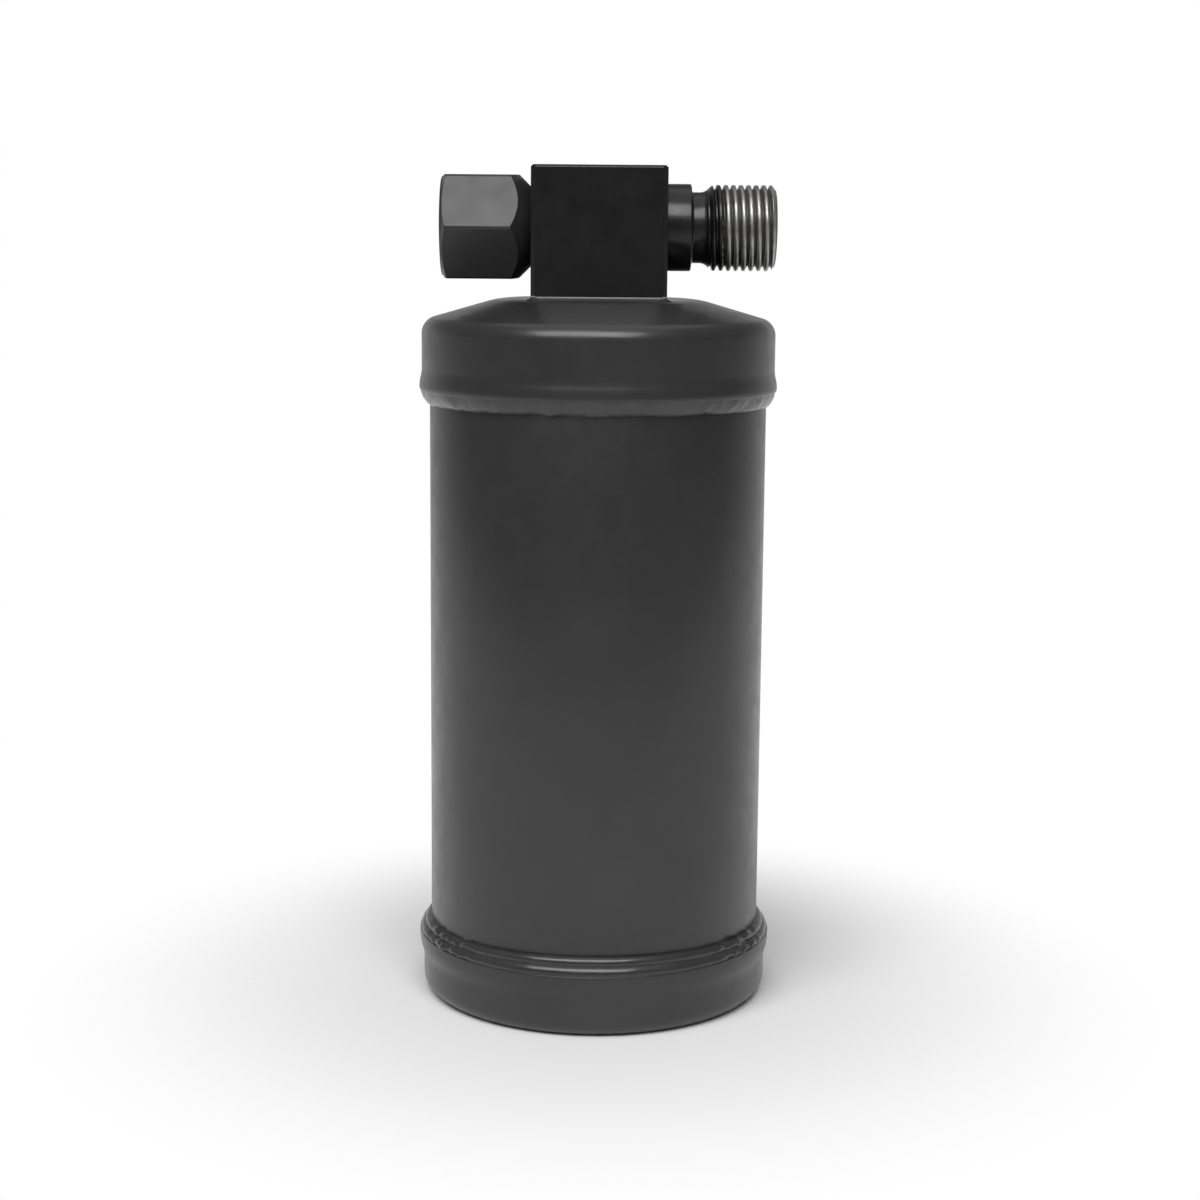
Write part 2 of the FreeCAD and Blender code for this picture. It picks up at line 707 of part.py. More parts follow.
# Support ring: stands on the bottom cap, carries the pack on its flange and lets liquid through its notches
def make_plate_support():
    body = new_body("plate_support")
    inner = "support_radius - support_wall"
    turn(
        body,
        [
            (inner, "cap_wall"),
            ("support_radius", "cap_wall"),
            ("support_radius", "support_top"),
            ("support_radius - support_flange", "support_top"),
            ("support_radius - support_flange", "support_top - support_wall"),
            (inner, "support_top - support_wall"),
        ],
    )
    notch = sketch_on(body, "XZ_Plane", "notch_outline")
    outline(
        notch,
        [
            ("-notch_width / 2", "cap_wall"),
            ("notch_width / 2", "cap_wall"),
            ("notch_width / 2", "cap_wall + notch_height"),
            ("-notch_width / 2", "cap_wall + notch_height"),
        ],
    )
    cut = pocket(body, notch, "notch", "support_radius", True)
    repeat(body, notch, "V_Axis", cut, "notches", "notch_count")


# Perforated plate: a disc with a turned rim, a hole for the pickup tube and rings of six-sided holes
def make_perforated_plate(label, foot, rim_end, disc_near, disc_far):
    """The disc lies from foot up; its rim runs from the disc's far face to rim_end."""
    body = new_body(label)
    inner_rim = "plate_radius - plate_thickness"
    turn(
        body,
        [
            ("pack_bore", disc_near),
            (inner_rim, disc_near),
            (inner_rim, rim_end),
            ("plate_radius", rim_end),
            ("plate_radius", disc_far),
            ("pack_bore", disc_far),
        ],
    )
    for ring in range(round(number("hole_ring_count"))):
        sketch = sketch_on(body, "XY_Plane", f"{label}_hole_{ring + 1}", foot)
        hexagon(sketch, f"{ring + 1} * hole_ring_step", "0", "hole_radius", 0)
        hole = pocket(body, sketch, f"{label}_drilling_{ring + 1}", "plate_thickness", True)
        repeat(body, sketch, "N_Axis", hole, f"{label}_ring_{ring + 1}", f"holes_each_ring * {ring + 1}")


def make_plates():
    lower_top = "support_top + plate_thickness"
    make_perforated_plate("lower_plate", "support_top", "support_top - plate_rim", "support_top", lower_top)
    upper_top = "upper_plate_foot + plate_thickness"
    upper_rim = "upper_plate_foot + plate_thickness + plate_rim"
    make_perforated_plate("upper_plate", "upper_plate_foot", upper_rim, upper_top, "upper_plate_foot")


# Filter pads and bead bed: rings round the pickup tube that fill the tube's bore
def make_pack_layer(label, foot, height):
    top = f"{foot} + {height}"
    turn(
        new_body(label),
        [("pack_bore", foot), ("pack_radius", foot), ("pack_radius", top), ("pack_bore", top)],
    )


# Retaining spring: presses the pack down from the underside of the crown. Its wire is drawn with six flats.
def make_retaining_spring():
    body = new_body("retaining_spring")
    sketch = sketch_on(body, "XZ_Plane", "wire_section")
    hexagon(sketch, "coil_radius", "spring_foot + wire_radius", "wire_radius", 0)
    doc.recompute()
    coil = body.newObject("PartDesign::AdditiveHelix", "coil")
    coil.Profile = sketch
    coil.ReferenceAxis = (sketch, ["V_Axis"])
    coil.Mode = "height-turns-angle"
    coil.setExpression("Height", bound("crown_under - spring_foot - 2 * wire_radius"))
    coil.setExpression("Turns", bound("coil_turns"))


make_body_tube()
make_bottom_cap()
make_top_cap()
make_upper_weld()
make_lower_weld()
make_head_block()
make_block_braze()
make_inlet_stub()
make_inlet_seal()
make_swivel_nut()
make_outlet_fitting()
make_pickup_tube()
make_pickup_braze()
make_strainer_frame()
make_strainer_screen()
make_plate_support()
make_plates()
make_pack_layer("lower_pad", "lower_pad_foot", "pad_thickness")
make_pack_layer("desiccant_bed", "bed_foot", "bed_height")
make_pack_layer("upper_pad", "bed_top", "pad_thickness")
make_retaining_spring()
doc.recompute()

failed = [item.Name for item in doc.Objects if {"Invalid", "Error"} & set(item.State)]
if failed:
    raise RuntimeError(f"these objects failed: {failed}")

bodies = [item for item in doc.Objects if item.TypeId == "PartDesign::Body"]
for body in bodies:
    if body.Shape.isNull() or not body.Shape.isValid() or body.Shape.Volume <= 0:
        raise RuntimeError(f"{body.Label} has no valid shape")

os.makedirs("parts", exist_ok=True)
for body in bodies:
    body.Shape.exportStep(f"parts/{body.Label}.step")
    print(f"{body.Label}: {len(body.Shape.Solids)} solid, {body.Shape.Volume:.1f} mm3")
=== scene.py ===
# %% [markdown]
# A refrigerant filter drier stands on a pale table. It is a painted steel can with a pressed cap at
# each end, a square head block brazed to the crown, a swivel nut on the inlet side and a male threaded
# fitting on the outlet side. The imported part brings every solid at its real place. This lesson models
# the outside again with soft edges, welds and cut threads, and gives each surface its finish.

from math import asin, cos, degrees, exp, pi, radians, tau

import bpy
from mathutils import Matrix, Vector


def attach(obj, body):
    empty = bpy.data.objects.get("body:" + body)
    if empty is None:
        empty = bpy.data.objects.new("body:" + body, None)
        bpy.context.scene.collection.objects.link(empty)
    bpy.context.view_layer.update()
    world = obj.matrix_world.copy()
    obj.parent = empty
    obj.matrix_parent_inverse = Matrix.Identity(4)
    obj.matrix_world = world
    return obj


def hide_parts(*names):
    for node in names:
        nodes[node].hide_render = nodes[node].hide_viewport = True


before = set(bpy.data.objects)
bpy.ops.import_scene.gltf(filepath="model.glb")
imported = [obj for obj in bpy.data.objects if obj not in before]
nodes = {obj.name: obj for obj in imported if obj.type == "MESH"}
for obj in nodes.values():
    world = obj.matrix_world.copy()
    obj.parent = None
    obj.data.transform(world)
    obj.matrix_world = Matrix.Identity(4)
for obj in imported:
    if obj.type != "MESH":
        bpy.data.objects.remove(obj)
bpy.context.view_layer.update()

# %% [markdown]
# The camera comes first, so that every later step can be judged from the photograph's place. It stands
# 427 mm in front of the can's axis, level with the two fittings, looks down by 9.3 degrees
# and leans by half a degree. The lens is a short telephoto on a square sensor. A camera could be
# aimed with a constraint, but plain numbers are easier to read and to change.

# %% Camera
MM = 0.001

bpy.ops.object.select_all(action="DESELECT")
bpy.ops.object.camera_add(location=(0.676 * MM, -427.46 * MM, 145.97 * MM))
camera = bpy.context.object
camera.name = "photo_camera"
camera.matrix_world = (
    Matrix.Translation(camera.location)
    @ Matrix.Rotation(radians(90 - 9.29), 4, "X")
    @ Matrix.Rotation(radians(0.467), 4, "Z")
)
camera.data.lens = 67.67
camera.data.sensor_width = 36
bpy.context.scene.camera = camera
print("Lens", camera.data.lens, "mm, camera at", [round(c, 4) for c in camera.location])

# %% [markdown]
# Nearly every part of a drier is turned or pressed round: the tube, the caps, the weld beads, the
# fittings. The natural way is the lathe's way: draw half of the section once, round its corners, and
# spin it. A section starts as a small plane merged into one point, which is pulled from corner to
# corner. A cylinder with many insets would also do, but a section keeps the real sizes in sight.


# %% Helpers that draw a section and spin it
def begin(piece_name):
    """Name the new object, and open it with all its points selected."""
    piece = bpy.context.object
    piece.name = piece_name
    piece.data.name = piece_name
    bpy.ops.object.mode_set(mode="EDIT")
    bpy.ops.mesh.select_mode(type="VERT")
    bpy.ops.mesh.select_all(action="SELECT")
    return piece


def draw_section(piece_name, corners, closed=True):
    """Pull one point along the corners, each given as (x, z) in millimetres."""
    bpy.ops.object.select_all(action="DESELECT")
    bpy.ops.mesh.primitive_plane_add(size=MM)
    piece = begin(piece_name)
    bpy.ops.mesh.merge(type="CENTER")
    places = [Vector((x * MM, 0, z * MM)) for x, z in corners]
    bpy.ops.transform.translate(value=places[0])
    for here, there in zip(places, places[1:] + places[:1] if closed else places[1:]):
        bpy.ops.mesh.extrude_vertices_move(TRANSFORM_OT_translate={"value": there - here})
    bpy.ops.mesh.select_all(action="SELECT")
    bpy.ops.mesh.remove_doubles(threshold=MM / 1000)
    return piece


def select_points(piece, chosen):
    """Select the points that a test picks, and stay in edit mode."""
    bpy.ops.object.mode_set(mode="EDIT")
    bpy.ops.mesh.select_mode(type="VERT")
    bpy.ops.mesh.select_all(action="DESELECT")
    bpy.ops.object.mode_set(mode="OBJECT")
    for point in piece.data.vertices:
        point.select = chosen(point.co / MM)
    bpy.ops.object.mode_set(mode="EDIT")


def round_corners(piece, corners, reach, segments=4):
    """Round the section's corners: reach is how far the curve starts from the corner, in millimetres."""
    for x, z in corners:
        select_points(piece, lambda place: abs(place.x - x) + abs(place.z - z) < 0.001)
        bpy.ops.mesh.bevel(offset=reach * MM, segments=segments, affect="VERTICES")


def spin_section(piece, axis, steps):
    """Spin the section round an axis through the origin, close it and turn its faces outwards."""
    bpy.ops.object.mode_set(mode="EDIT")
    bpy.ops.mesh.select_all(action="SELECT")
    bpy.ops.mesh.spin(steps=steps, angle=tau, center=(0, 0, 0), axis=axis)
    close_up(piece)


def close_up(piece):
    """Merge what meets, turn the faces outwards and go back to object mode."""
    bpy.ops.object.mode_set(mode="EDIT")
    bpy.ops.mesh.select_all(action="SELECT")
    bpy.ops.mesh.remove_doubles(threshold=MM / 1000)
    bpy.ops.mesh.normals_make_consistent(inside=False)
    bpy.ops.object.mode_set(mode="OBJECT")


def join_flats(piece, angle=1.0):
    """Join neighbouring faces that lie in one plane, which a Boolean can leave split."""
    bpy.ops.object.mode_set(mode="EDIT")
    bpy.ops.mesh.select_all(action="SELECT")
    bpy.ops.mesh.dissolve_limited(angle_limit=radians(angle))
    bpy.ops.object.mode_set(mode="OBJECT")


def smooth(piece, angle=25):
    """Shade smoothly, but keep edges that turn by more than an angle."""
    bpy.ops.object.select_all(action="DESELECT")
    piece.select_set(True)
    bpy.context.view_layer.objects.active = piece
    bpy.ops.object.shade_smooth_by_angle(angle=radians(angle))
    size = [round(side / MM, 2) for side in piece.dimensions]
    print(f"{piece.name}: {len(piece.data.polygons)} faces, {size} mm")


UPRIGHT = (0, 0, 1)
CAN_STEPS = 192

# %% [markdown]
# The can's wall is a plain steel tube, 63.5 mm across with a 1.5 mm wall. Both of its ends stand
# inside the caps. Only a fine round on its cut edges is added, as a saw and a brush leave it.

# %% Tube of the can
TUBE_RADIUS = 31.75
TUBE_BORE = 30.25
TUBE_FOOT = 4.5
TUBE_TOP = 125.5

tube_corners = [
    (TUBE_BORE, TUBE_FOOT),
    (TUBE_RADIUS, TUBE_FOOT),
    (TUBE_RADIUS, TUBE_TOP),
    (TUBE_BORE, TUBE_TOP),
]
can_tube = draw_section("can_tube", tube_corners)
round_corners(can_tube, tube_corners, 0.2, 2)
spin_section(can_tube, UPRIGHT, CAN_STEPS)
smooth(can_tube)

# %% [markdown]
# The caps are pressed from sheet, so one wall thickness runs through the whole section, every bend has
# an outer and an inner radius, and the rim is belled out to slip over the tube. The bends are corners
# of the section rounded with a vertex bevel, which is quicker to change than arcs drawn by hand.

# %% Bottom cap
CAP_BORE = 31.85
CAP_RADIUS = 33.25
CAP_WALL = 1.4
BOTTOM_RIM = 12.0
BOTTOM_FLARE = 0.75

bell = [(7.4, 0.0), (9.5, BOTTOM_FLARE)]
bottom_cap = draw_section(
    "bottom_cap_pressing",
    [(0, 0), (CAP_RADIUS, 0)]
    + [(CAP_RADIUS + out, height) for height, out in bell]
    + [(CAP_RADIUS + BOTTOM_FLARE, BOTTOM_RIM), (CAP_BORE + BOTTOM_FLARE, BOTTOM_RIM)]
    + [(CAP_BORE + out, height) for height, out in reversed(bell)]
    + [(CAP_BORE, CAP_WALL), (0, CAP_WALL)],
    closed=False,
)
round_corners(bottom_cap, [(CAP_RADIUS, 0)], 3.2, 10)
round_corners(bottom_cap, [(CAP_BORE, CAP_WALL)], 1.8, 6)
bell_corners = [(edge + out, height) for edge in (CAP_RADIUS, CAP_BORE) for height, out in bell]
round_corners(bottom_cap, bell_corners, 1.1, 5)
round_corners(bottom_cap, [(CAP_RADIUS + BOTTOM_FLARE, BOTTOM_RIM)], 0.3, 3)
spin_section(bottom_cap, UPRIGHT, CAN_STEPS)
smooth(bottom_cap)

# %% Top cap
CROWN_TOP = 133.5
CROWN_RADIUS = 18.7
CONE_FALL = 0.29053
TOP_RIM = 116.1
TOP_FLARE = 0.45
CROWN_HOLE = 10.55
INNER_CROWN_RADIUS = 18.5
SHOULDER_STEP = 1.051

top_bell = [(119.6, 0.0), (118.0, TOP_FLARE)]
outer_shoulder = (CAP_RADIUS, CROWN_TOP - (CAP_RADIUS - CROWN_RADIUS) * CONE_FALL)
inner_shoulder = (CAP_BORE, outer_shoulder[1] - SHOULDER_STEP)
inner_crown = (INNER_CROWN_RADIUS, CROWN_TOP - CAP_WALL)
top_cap = draw_section(
    "top_cap_pressing",
    [(CROWN_HOLE, CROWN_TOP - CAP_WALL), inner_crown, inner_shoulder]
    + [(CAP_BORE + out, height) for height, out in top_bell]
    + [(CAP_BORE + TOP_FLARE, TOP_RIM), (CAP_RADIUS + TOP_FLARE, TOP_RIM)]
    + [(CAP_RADIUS + out, height) for height, out in reversed(top_bell)]
    + [outer_shoulder, (CROWN_RADIUS, CROWN_TOP), (CROWN_HOLE, CROWN_TOP)],
)
round_corners(top_cap, [outer_shoulder], 2.3, 10)
round_corners(top_cap, [inner_shoulder], 0.82, 6)
round_corners(top_cap, [(CROWN_RADIUS, CROWN_TOP), inner_crown], 2.0, 5)
top_bell_corners = [(edge + out, height) for edge in (CAP_RADIUS, CAP_BORE) for height, out in top_bell]
round_corners(top_cap, top_bell_corners, 0.8, 5)
round_corners(top_cap, [(CAP_RADIUS + TOP_FLARE, TOP_RIM)], 0.85, 6)
spin_section(top_cap, UPRIGHT, CAN_STEPS)
smooth(top_cap)

# %% [markdown]
# Both caps are welded to the tube all round. The upper weld is one soft fillet under the rim. The lower
# one is a bead of two ridges with a groove between them, even at the front and lumpy at both sides,
# where the arc was started and stopped. Its top lies up to a millimetre lower at the sides. Each is spun
# like the rest, with its inner side sunk a little into the tube. Then Displace modifiers press the lower
# bead down at its sides and make both wander by a cloud pattern.


# %% Weld beads
def displace(piece, weights, **settings):
    """Move the points with a Displace modifier, each by its own weight, and apply it."""
    group = piece.vertex_groups.new(name="weights")
    for index, weight in weights.items():
        group.add([index], weight, "REPLACE")
    bpy.ops.object.select_all(action="DESELECT")
    piece.select_set(True)
    bpy.context.view_layer.objects.active = piece
    bpy.ops.object.modifier_add(type="DISPLACE")
    shift = piece.modifiers[-1]
    shift.vertex_group = "weights"
    for key, value in settings.items():
        setattr(shift, key, value)
    bpy.ops.object.modifier_apply(modifier=shift.name)
    piece.vertex_groups.remove(piece.vertex_groups["weights"])


def lumps(piece, pattern_name, size, height, weight, middle=0.5):
    """Push the points out and in by a cloud pattern; weight says how much, from the angle round the can."""
    weights = {}
    for point in piece.data.vertices:
        side = degrees(asin(max(-1, min(1, point.co.x / point.co.xy.length))))
        if point.co.xy.length > TUBE_RADIUS * MM:
            weights[point.index] = weight(side)
    pattern = bpy.data.textures.new(pattern_name, type="CLOUDS")
    pattern.noise_scale = size * MM
    pattern.noise_depth = 2
    displace(
        piece, weights, texture=pattern, texture_coords="LOCAL", strength=height * MM, mid_level=middle
    )


def settle(piece, drop, foot, top):
    """Press the bead down towards its foot: not at all in front and behind, most at both sides."""
    weights = {}
    for point in piece.data.vertices:
        side = abs(point.co.x / point.co.xy.length)
        height = max(0, point.co.z / MM - foot) / (top - foot)
        weights[point.index] = height * side**2
    displace(piece, weights, direction="Z", strength=-drop * MM, mid_level=0)


def near_the_arc_ends(side):
    """Most where the arc was started and stopped, at an angle to either side, and fading away from there."""
    return exp(-(((abs(side) - ARC_END) / ARC_SPREAD) ** 2))


WELD_ROOT = 31.6
WELD_STEPS = 384
UPPER_TOP = 116.6
UPPER_BELLY = (33.05, 114.6)
BEAD_FOOT = 11.7
BEAD_TOP = 15.4
BEAD_SETTLES = 1.0
LOWER_RIDGE = (34.158, 13.0)
UPPER_RIDGE = (33.2, 15.1)
ARC_END = 56
ARC_SPREAD = 13

upper_weld = draw_section(
    "upper_weld_fillet",
    [(WELD_ROOT, UPPER_TOP), (WELD_ROOT, 113.6), (31.76, 113.7), UPPER_BELLY, (33.5, UPPER_TOP)],
)
round_corners(upper_weld, [UPPER_BELLY], 1.45, 8)
spin_section(upper_weld, UPRIGHT, WELD_STEPS)
lumps(upper_weld, "upper_wander", 3.5, 0.6, lambda side: 1.0)
smooth(upper_weld, 50)

lower_weld = draw_section(
    "lower_weld_bead",
    [
        (WELD_ROOT, BEAD_FOOT),
        (33.75, BEAD_FOOT),
        LOWER_RIDGE,
        (32.9, 13.7),
        UPPER_RIDGE,
        (31.7, 15.3),
        (WELD_ROOT, BEAD_TOP),
    ],
)
round_corners(lower_weld, [LOWER_RIDGE], 1.3, 8)
round_corners(lower_weld, [UPPER_RIDGE], 1.35, 8)
spin_section(lower_weld, UPRIGHT, WELD_STEPS)
settle(lower_weld, BEAD_SETTLES, BEAD_FOOT, BEAD_TOP)
lumps(lower_weld, "lower_wander", 9, 0.18, lambda side: 1.0)
lumps(lower_weld, "start_and_stop", 1.8, 1.25, near_the_arc_ends, 0.6)
smooth(lower_weld, 50)

# %% [markdown]
# The head block is a length of bright square bar, 25 mm on a side, with its edges knocked off. A cube is
# stretched to size. Its four upright edges get a wide chamfer and the top a narrow one, and a last small
# round on every edge gives the light something to catch.


# %% Head block
def apply_transform(piece):
    bpy.ops.object.select_all(action="DESELECT")
    piece.select_set(True)
    bpy.context.view_layer.objects.active = piece
    bpy.ops.object.transform_apply(location=True, rotation=True, scale=True)


def apply_bevel(piece, width, angle, segments=2):
    """Round every edge that turns by more than an angle, with a Bevel modifier that is applied."""
    bpy.context.view_layer.objects.active = piece
    bpy.ops.object.modifier_add(type="BEVEL")
    bevel = piece.modifiers[-1]
    bevel.width = width * MM
    bevel.segments = segments
    bevel.limit_method = "ANGLE"
    bevel.angle_limit = radians(angle)
    bevel.use_clamp_overlap = False
    bpy.ops.object.modifier_apply(modifier=bevel.name)


def keep_flats(piece):
    """Let the large faces decide the shading at their edges, so that a flat looks flat."""
    bpy.context.view_layer.objects.active = piece
    bpy.ops.object.modifier_add(type="WEIGHTED_NORMAL")
    weighted = piece.modifiers[-1]
    weighted.keep_sharp = True
    bpy.ops.object.modifier_apply(modifier=weighted.name)


def select_edges(piece, chosen):
    """Select the edges whose two ends a test picks, and stay in edit mode."""
    bpy.ops.object.mode_set(mode="EDIT")
    bpy.ops.mesh.select_mode(type="EDGE")
    bpy.ops.mesh.select_all(action="DESELECT")
    bpy.ops.object.mode_set(mode="OBJECT")
    points = piece.data.vertices
    for edge in piece.data.edges:
        edge.select = chosen(*(points[index].co / MM for index in edge.vertices))
    bpy.ops.object.mode_set(mode="EDIT")


BLOCK_WIDTH = 25.0
BLOCK_TOP = 157.85
BLOCK_FOOT = 133.3

bpy.ops.object.select_all(action="DESELECT")
bpy.ops.mesh.primitive_cube_add(size=1, location=(0, 0, (BLOCK_TOP + BLOCK_FOOT) / 2 * MM))
head_block = bpy.context.object
head_block.name = "head_block_bar"
head_block.scale = (BLOCK_WIDTH * MM, BLOCK_WIDTH * MM, (BLOCK_TOP - BLOCK_FOOT) * MM)
apply_transform(head_block)
select_edges(head_block, lambda one, two: abs(one.z - two.z) > 1)
bpy.ops.mesh.bevel(offset=0.85 * MM, segments=1)
select_edges(head_block, lambda one, two: min(one.z, two.z) > BLOCK_TOP - 0.01)
bpy.ops.mesh.bevel(offset=0.4 * MM, segments=1)
bpy.ops.object.mode_set(mode="OBJECT")
apply_bevel(head_block, 0.1, 20)
smooth(head_block, 50)
keep_flats(head_block)

# %% [markdown]
# Brass ran into the joint between block and crown and left a small hollow fillet all round, under the
# paint. A plane is raised in four steps: the first straight up, the others drawn in less and less.

# %% Braze fillet round the foot of the block
BRAZE_LEG = 0.7
BRAZE_SUNK = 0.2

bpy.ops.object.select_all(action="DESELECT")
bpy.ops.mesh.primitive_plane_add(
    size=(BLOCK_WIDTH + 2 * BRAZE_LEG) * MM, location=(0, 0, (CROWN_TOP - BRAZE_SUNK) * MM)
)
block_braze = begin("block_braze_fillet")
bpy.ops.mesh.subdivide(number_cuts=15)
for rise, width in ((0.2, 1.0), (0.1, 0.974), (0.2, 0.977), (0.4, 0.992)):
    bpy.ops.mesh.extrude_region_move(TRANSFORM_OT_translate={"value": (0, 0, rise * MM)})
    bpy.ops.transform.resize(value=(width, width, 1))
bpy.ops.object.mode_set(mode="OBJECT")
apply_transform(block_braze)
close_up(block_braze)
smooth(block_braze, 60)

# %% [markdown]
# The two fittings lie along X. They are drawn round the scene's own X axis, where spinning and screwing
# are simple, and lifted to their height at the end. The threads are 5/8-18: eighteen turns to the inch.
# The nut's groove has flanks 60 degrees apart. The outlet's are about 40, between rounded crests. A
# real thread is a groove that a tool cuts along a helix, and cutting it the same way gives the run-out
# into the neck for free: the groove's section is wound with a Screw modifier and taken away with a
# Boolean. Adding a ridge instead would leave no run-out.


# %% Helpers for the fittings
ALONG = (1, 0, 0)
FITTING_HEIGHT = 146.7
FITTING_STEPS = 128
PITCH = 25.4 / 18


def combine(piece, tool, operation):
    """Apply a Boolean with a tool, then throw the tool away."""
    bpy.ops.object.select_all(action="DESELECT")
    bpy.context.view_layer.objects.active = piece
    bpy.ops.object.modifier_add(type="BOOLEAN")
    step = piece.modifiers[-1]
    step.object = tool
    step.operation = operation
    step.solver = "EXACT"
    bpy.ops.object.modifier_apply(modifier=step.name)
    bpy.data.objects.remove(tool)


def thread_tool(start, turns, half_section):
    """Wind the groove's section, given from its back to its tip as (half of its width, radius)."""
    left = [(start - half, radius) for half, radius in half_section]
    right = [(start + half, radius) for half, radius in half_section]
    tool = draw_section("thread_tool", right + left[::-1])
    bpy.ops.object.mode_set(mode="OBJECT")
    bpy.ops.object.modifier_add(type="SCREW")
    winding = tool.modifiers[-1]
    winding.axis = "X"
    winding.screw_offset = PITCH * MM
    winding.iterations = turns
    winding.steps = 72
    winding.render_steps = 72
    bpy.ops.object.modifier_apply(modifier=winding.name)
    bpy.ops.object.mode_set(mode="EDIT")
    bpy.ops.mesh.select_all(action="SELECT")
    bpy.ops.mesh.fill_holes(sides=2 * len(half_section))
    close_up(tool)
    return tool


def lift(piece):
    """Raise a finished fitting to its height, with the move kept in its mesh."""
    piece.location.z = FITTING_HEIGHT * MM
    apply_transform(piece)


# %% [markdown]
# The outlet fitting is turned from round bar: a collar against the block, a relieved neck
# with a hollow run-out, the thread, and a 45 degree seat at the mouth for the mating O-ring.

# %% Outlet fitting
THREAD_RADIUS = 7.9375
THREAD_ROOT = 7.07
OUTER_GROOVE = [(0.68, 8.02), (0.61, 7.935), (0.51, 7.91), (0.43, 7.865), (0.37, 7.8), (0.1, 7.07)]
COLLAR_RADIUS = 8.05
COLLAR_END = 17.1
NECK_RADIUS = 6.55
NECK_END = 19.5
RUN_OUT = 1.5
THREAD_END = 32.8
THREAD_START = 19.95
THREAD_TURNS = 11
SPIGOT_START = 6.5
SPIGOT_RADIUS = 6.0
COLLAR_START = 12.4
OUTLET_BORE = 4.05
SEAT_RADIUS = 5.65
SEAT_DEPTH = 1.6

thread_nose = (THREAD_END, THREAD_RADIUS - 0.95)
seat_edge = (THREAD_END, SEAT_RADIUS)

outlet = draw_section(
    "outlet_fitting_turned",
    [
        (SPIGOT_START, OUTLET_BORE),
        (SPIGOT_START, SPIGOT_RADIUS),
        (COLLAR_START, SPIGOT_RADIUS),
        (COLLAR_START, COLLAR_RADIUS),
        (COLLAR_END, COLLAR_RADIUS),
        (COLLAR_END, NECK_RADIUS),
        (NECK_END, NECK_RADIUS),
        (NECK_END + RUN_OUT, THREAD_RADIUS),
        (THREAD_END - 0.8, THREAD_RADIUS),
        thread_nose,
        seat_edge,
        (THREAD_END - SEAT_DEPTH, OUTLET_BORE),
    ],
)
round_corners(outlet, [(COLLAR_END, COLLAR_RADIUS)], 0.3, 3)
round_corners(outlet, [(COLLAR_END, NECK_RADIUS)], 0.4, 4)
round_corners(outlet, [(NECK_END, NECK_RADIUS)], 0.7, 5)
round_corners(outlet, [thread_nose, seat_edge], 0.15, 2)
spin_section(outlet, ALONG, FITTING_STEPS)
combine(outlet, thread_tool(THREAD_START - PITCH, THREAD_TURNS, OUTER_GROOVE), "DIFFERENCE")
close_up(outlet)
lift(outlet)
smooth(outlet, 35)

# %% [markdown]
# The swivel nut starts as a turned blank with a conical back and a chamfered face, is milled to a
# 3/4 inch hexagon, drilled and tapped. It is made in the same order here. A six-sided cylinder gets
# softly rounded long edges and is cut to what lies inside the blank, and a fine bevel breaks the edges
# left by that cut. The blank has 120 steps, a multiple of six, so that all six corners are cut alike.
# Only then come the bore and the thread, so that the bevel can't disturb them. Weighted normals keep
# the wide flats flat. The nut was left a degree or two off square by hand, so its front edge sits a
# little low.

# %% Swivel nut, outside
NUT_BACK = -12.55
NUT_FACE = -29.4
NUT_FLATS = 19.05
NUT_TURN = 1.5
BLANK_STEPS = 120
BLANK_RADIUS = 11.43
CONE_END = -16.83
CHAMFER_START = -28.1

blank = draw_section(
    "nut_blank",
    [
        (NUT_BACK, 0),
        (NUT_BACK, 7.15),
        (CONE_END, BLANK_RADIUS),
        (CHAMFER_START, BLANK_RADIUS),
        (-29.08, 9.28),
        (NUT_FACE, 9.1),
        (NUT_FACE, 0),
    ],
    closed=False,
)
spin_section(blank, ALONG, BLANK_STEPS)

bpy.ops.object.select_all(action="DESELECT")
bpy.ops.mesh.primitive_cylinder_add(
    vertices=6,
    radius=NUT_FLATS / 2 / cos(pi / 6) * MM,
    depth=30 * MM,
    location=(-20 * MM, 0, 0),
    rotation=(0, pi / 2, 0),
)
nut = bpy.context.object
nut.name = "swivel_nut_milled"
nut.data.name = "swivel_nut_milled"
apply_transform(nut)
nut.rotation_euler = (radians(NUT_TURN), 0, 0)
apply_transform(nut)
select_edges(nut, lambda one, two: abs(one.x - two.x) > 1)
bpy.ops.mesh.bevel(offset=0.45 * MM, segments=3)
bpy.ops.object.mode_set(mode="OBJECT")
combine(nut, blank, "INTERSECT")
close_up(nut)
join_flats(nut)
apply_bevel(nut, 0.12, 20, 2)

# %% Swivel nut, bore and thread
TAP_BORE = 7.17
INNER_GROOVE = [(0.656, 6.95), (0.073, 7.96)]
RELIEF_RADIUS = 8.19
STUB_BORE = 4.96
SHELF = -16.9
RELIEF_END = -18.4
TAP_START = -30.6
TAP_TURNS = 9

bore = draw_section(
    "nut_bore",
    [
        (-12.0, 0),
        (-12.0, STUB_BORE),
        (SHELF, STUB_BORE),
        (SHELF, RELIEF_RADIUS),
        (RELIEF_END, RELIEF_RADIUS),
        (RELIEF_END, TAP_BORE),
        (-28.03, TAP_BORE),
        (-30.0, 9.14),
        (-30.0, 0),
    ],
    closed=False,
)
spin_section(bore, ALONG, FITTING_STEPS)
combine(nut, bore, "DIFFERENCE")
combine(nut, thread_tool(TAP_START, TAP_TURNS, INNER_GROOVE), "DIFFERENCE")
close_up(nut)
lift(nut)
smooth(nut, 30)
keep_flats(nut)

# %% [markdown]
# Inside the nut lies the inlet stub: a brazed end, a short tube, the collar that the nut pulls on, the
# seal groove and the pilot. The O-ring is a round rubber section with the faint seam that its mould
# leaves, so it is a spun circle, not a bare torus.

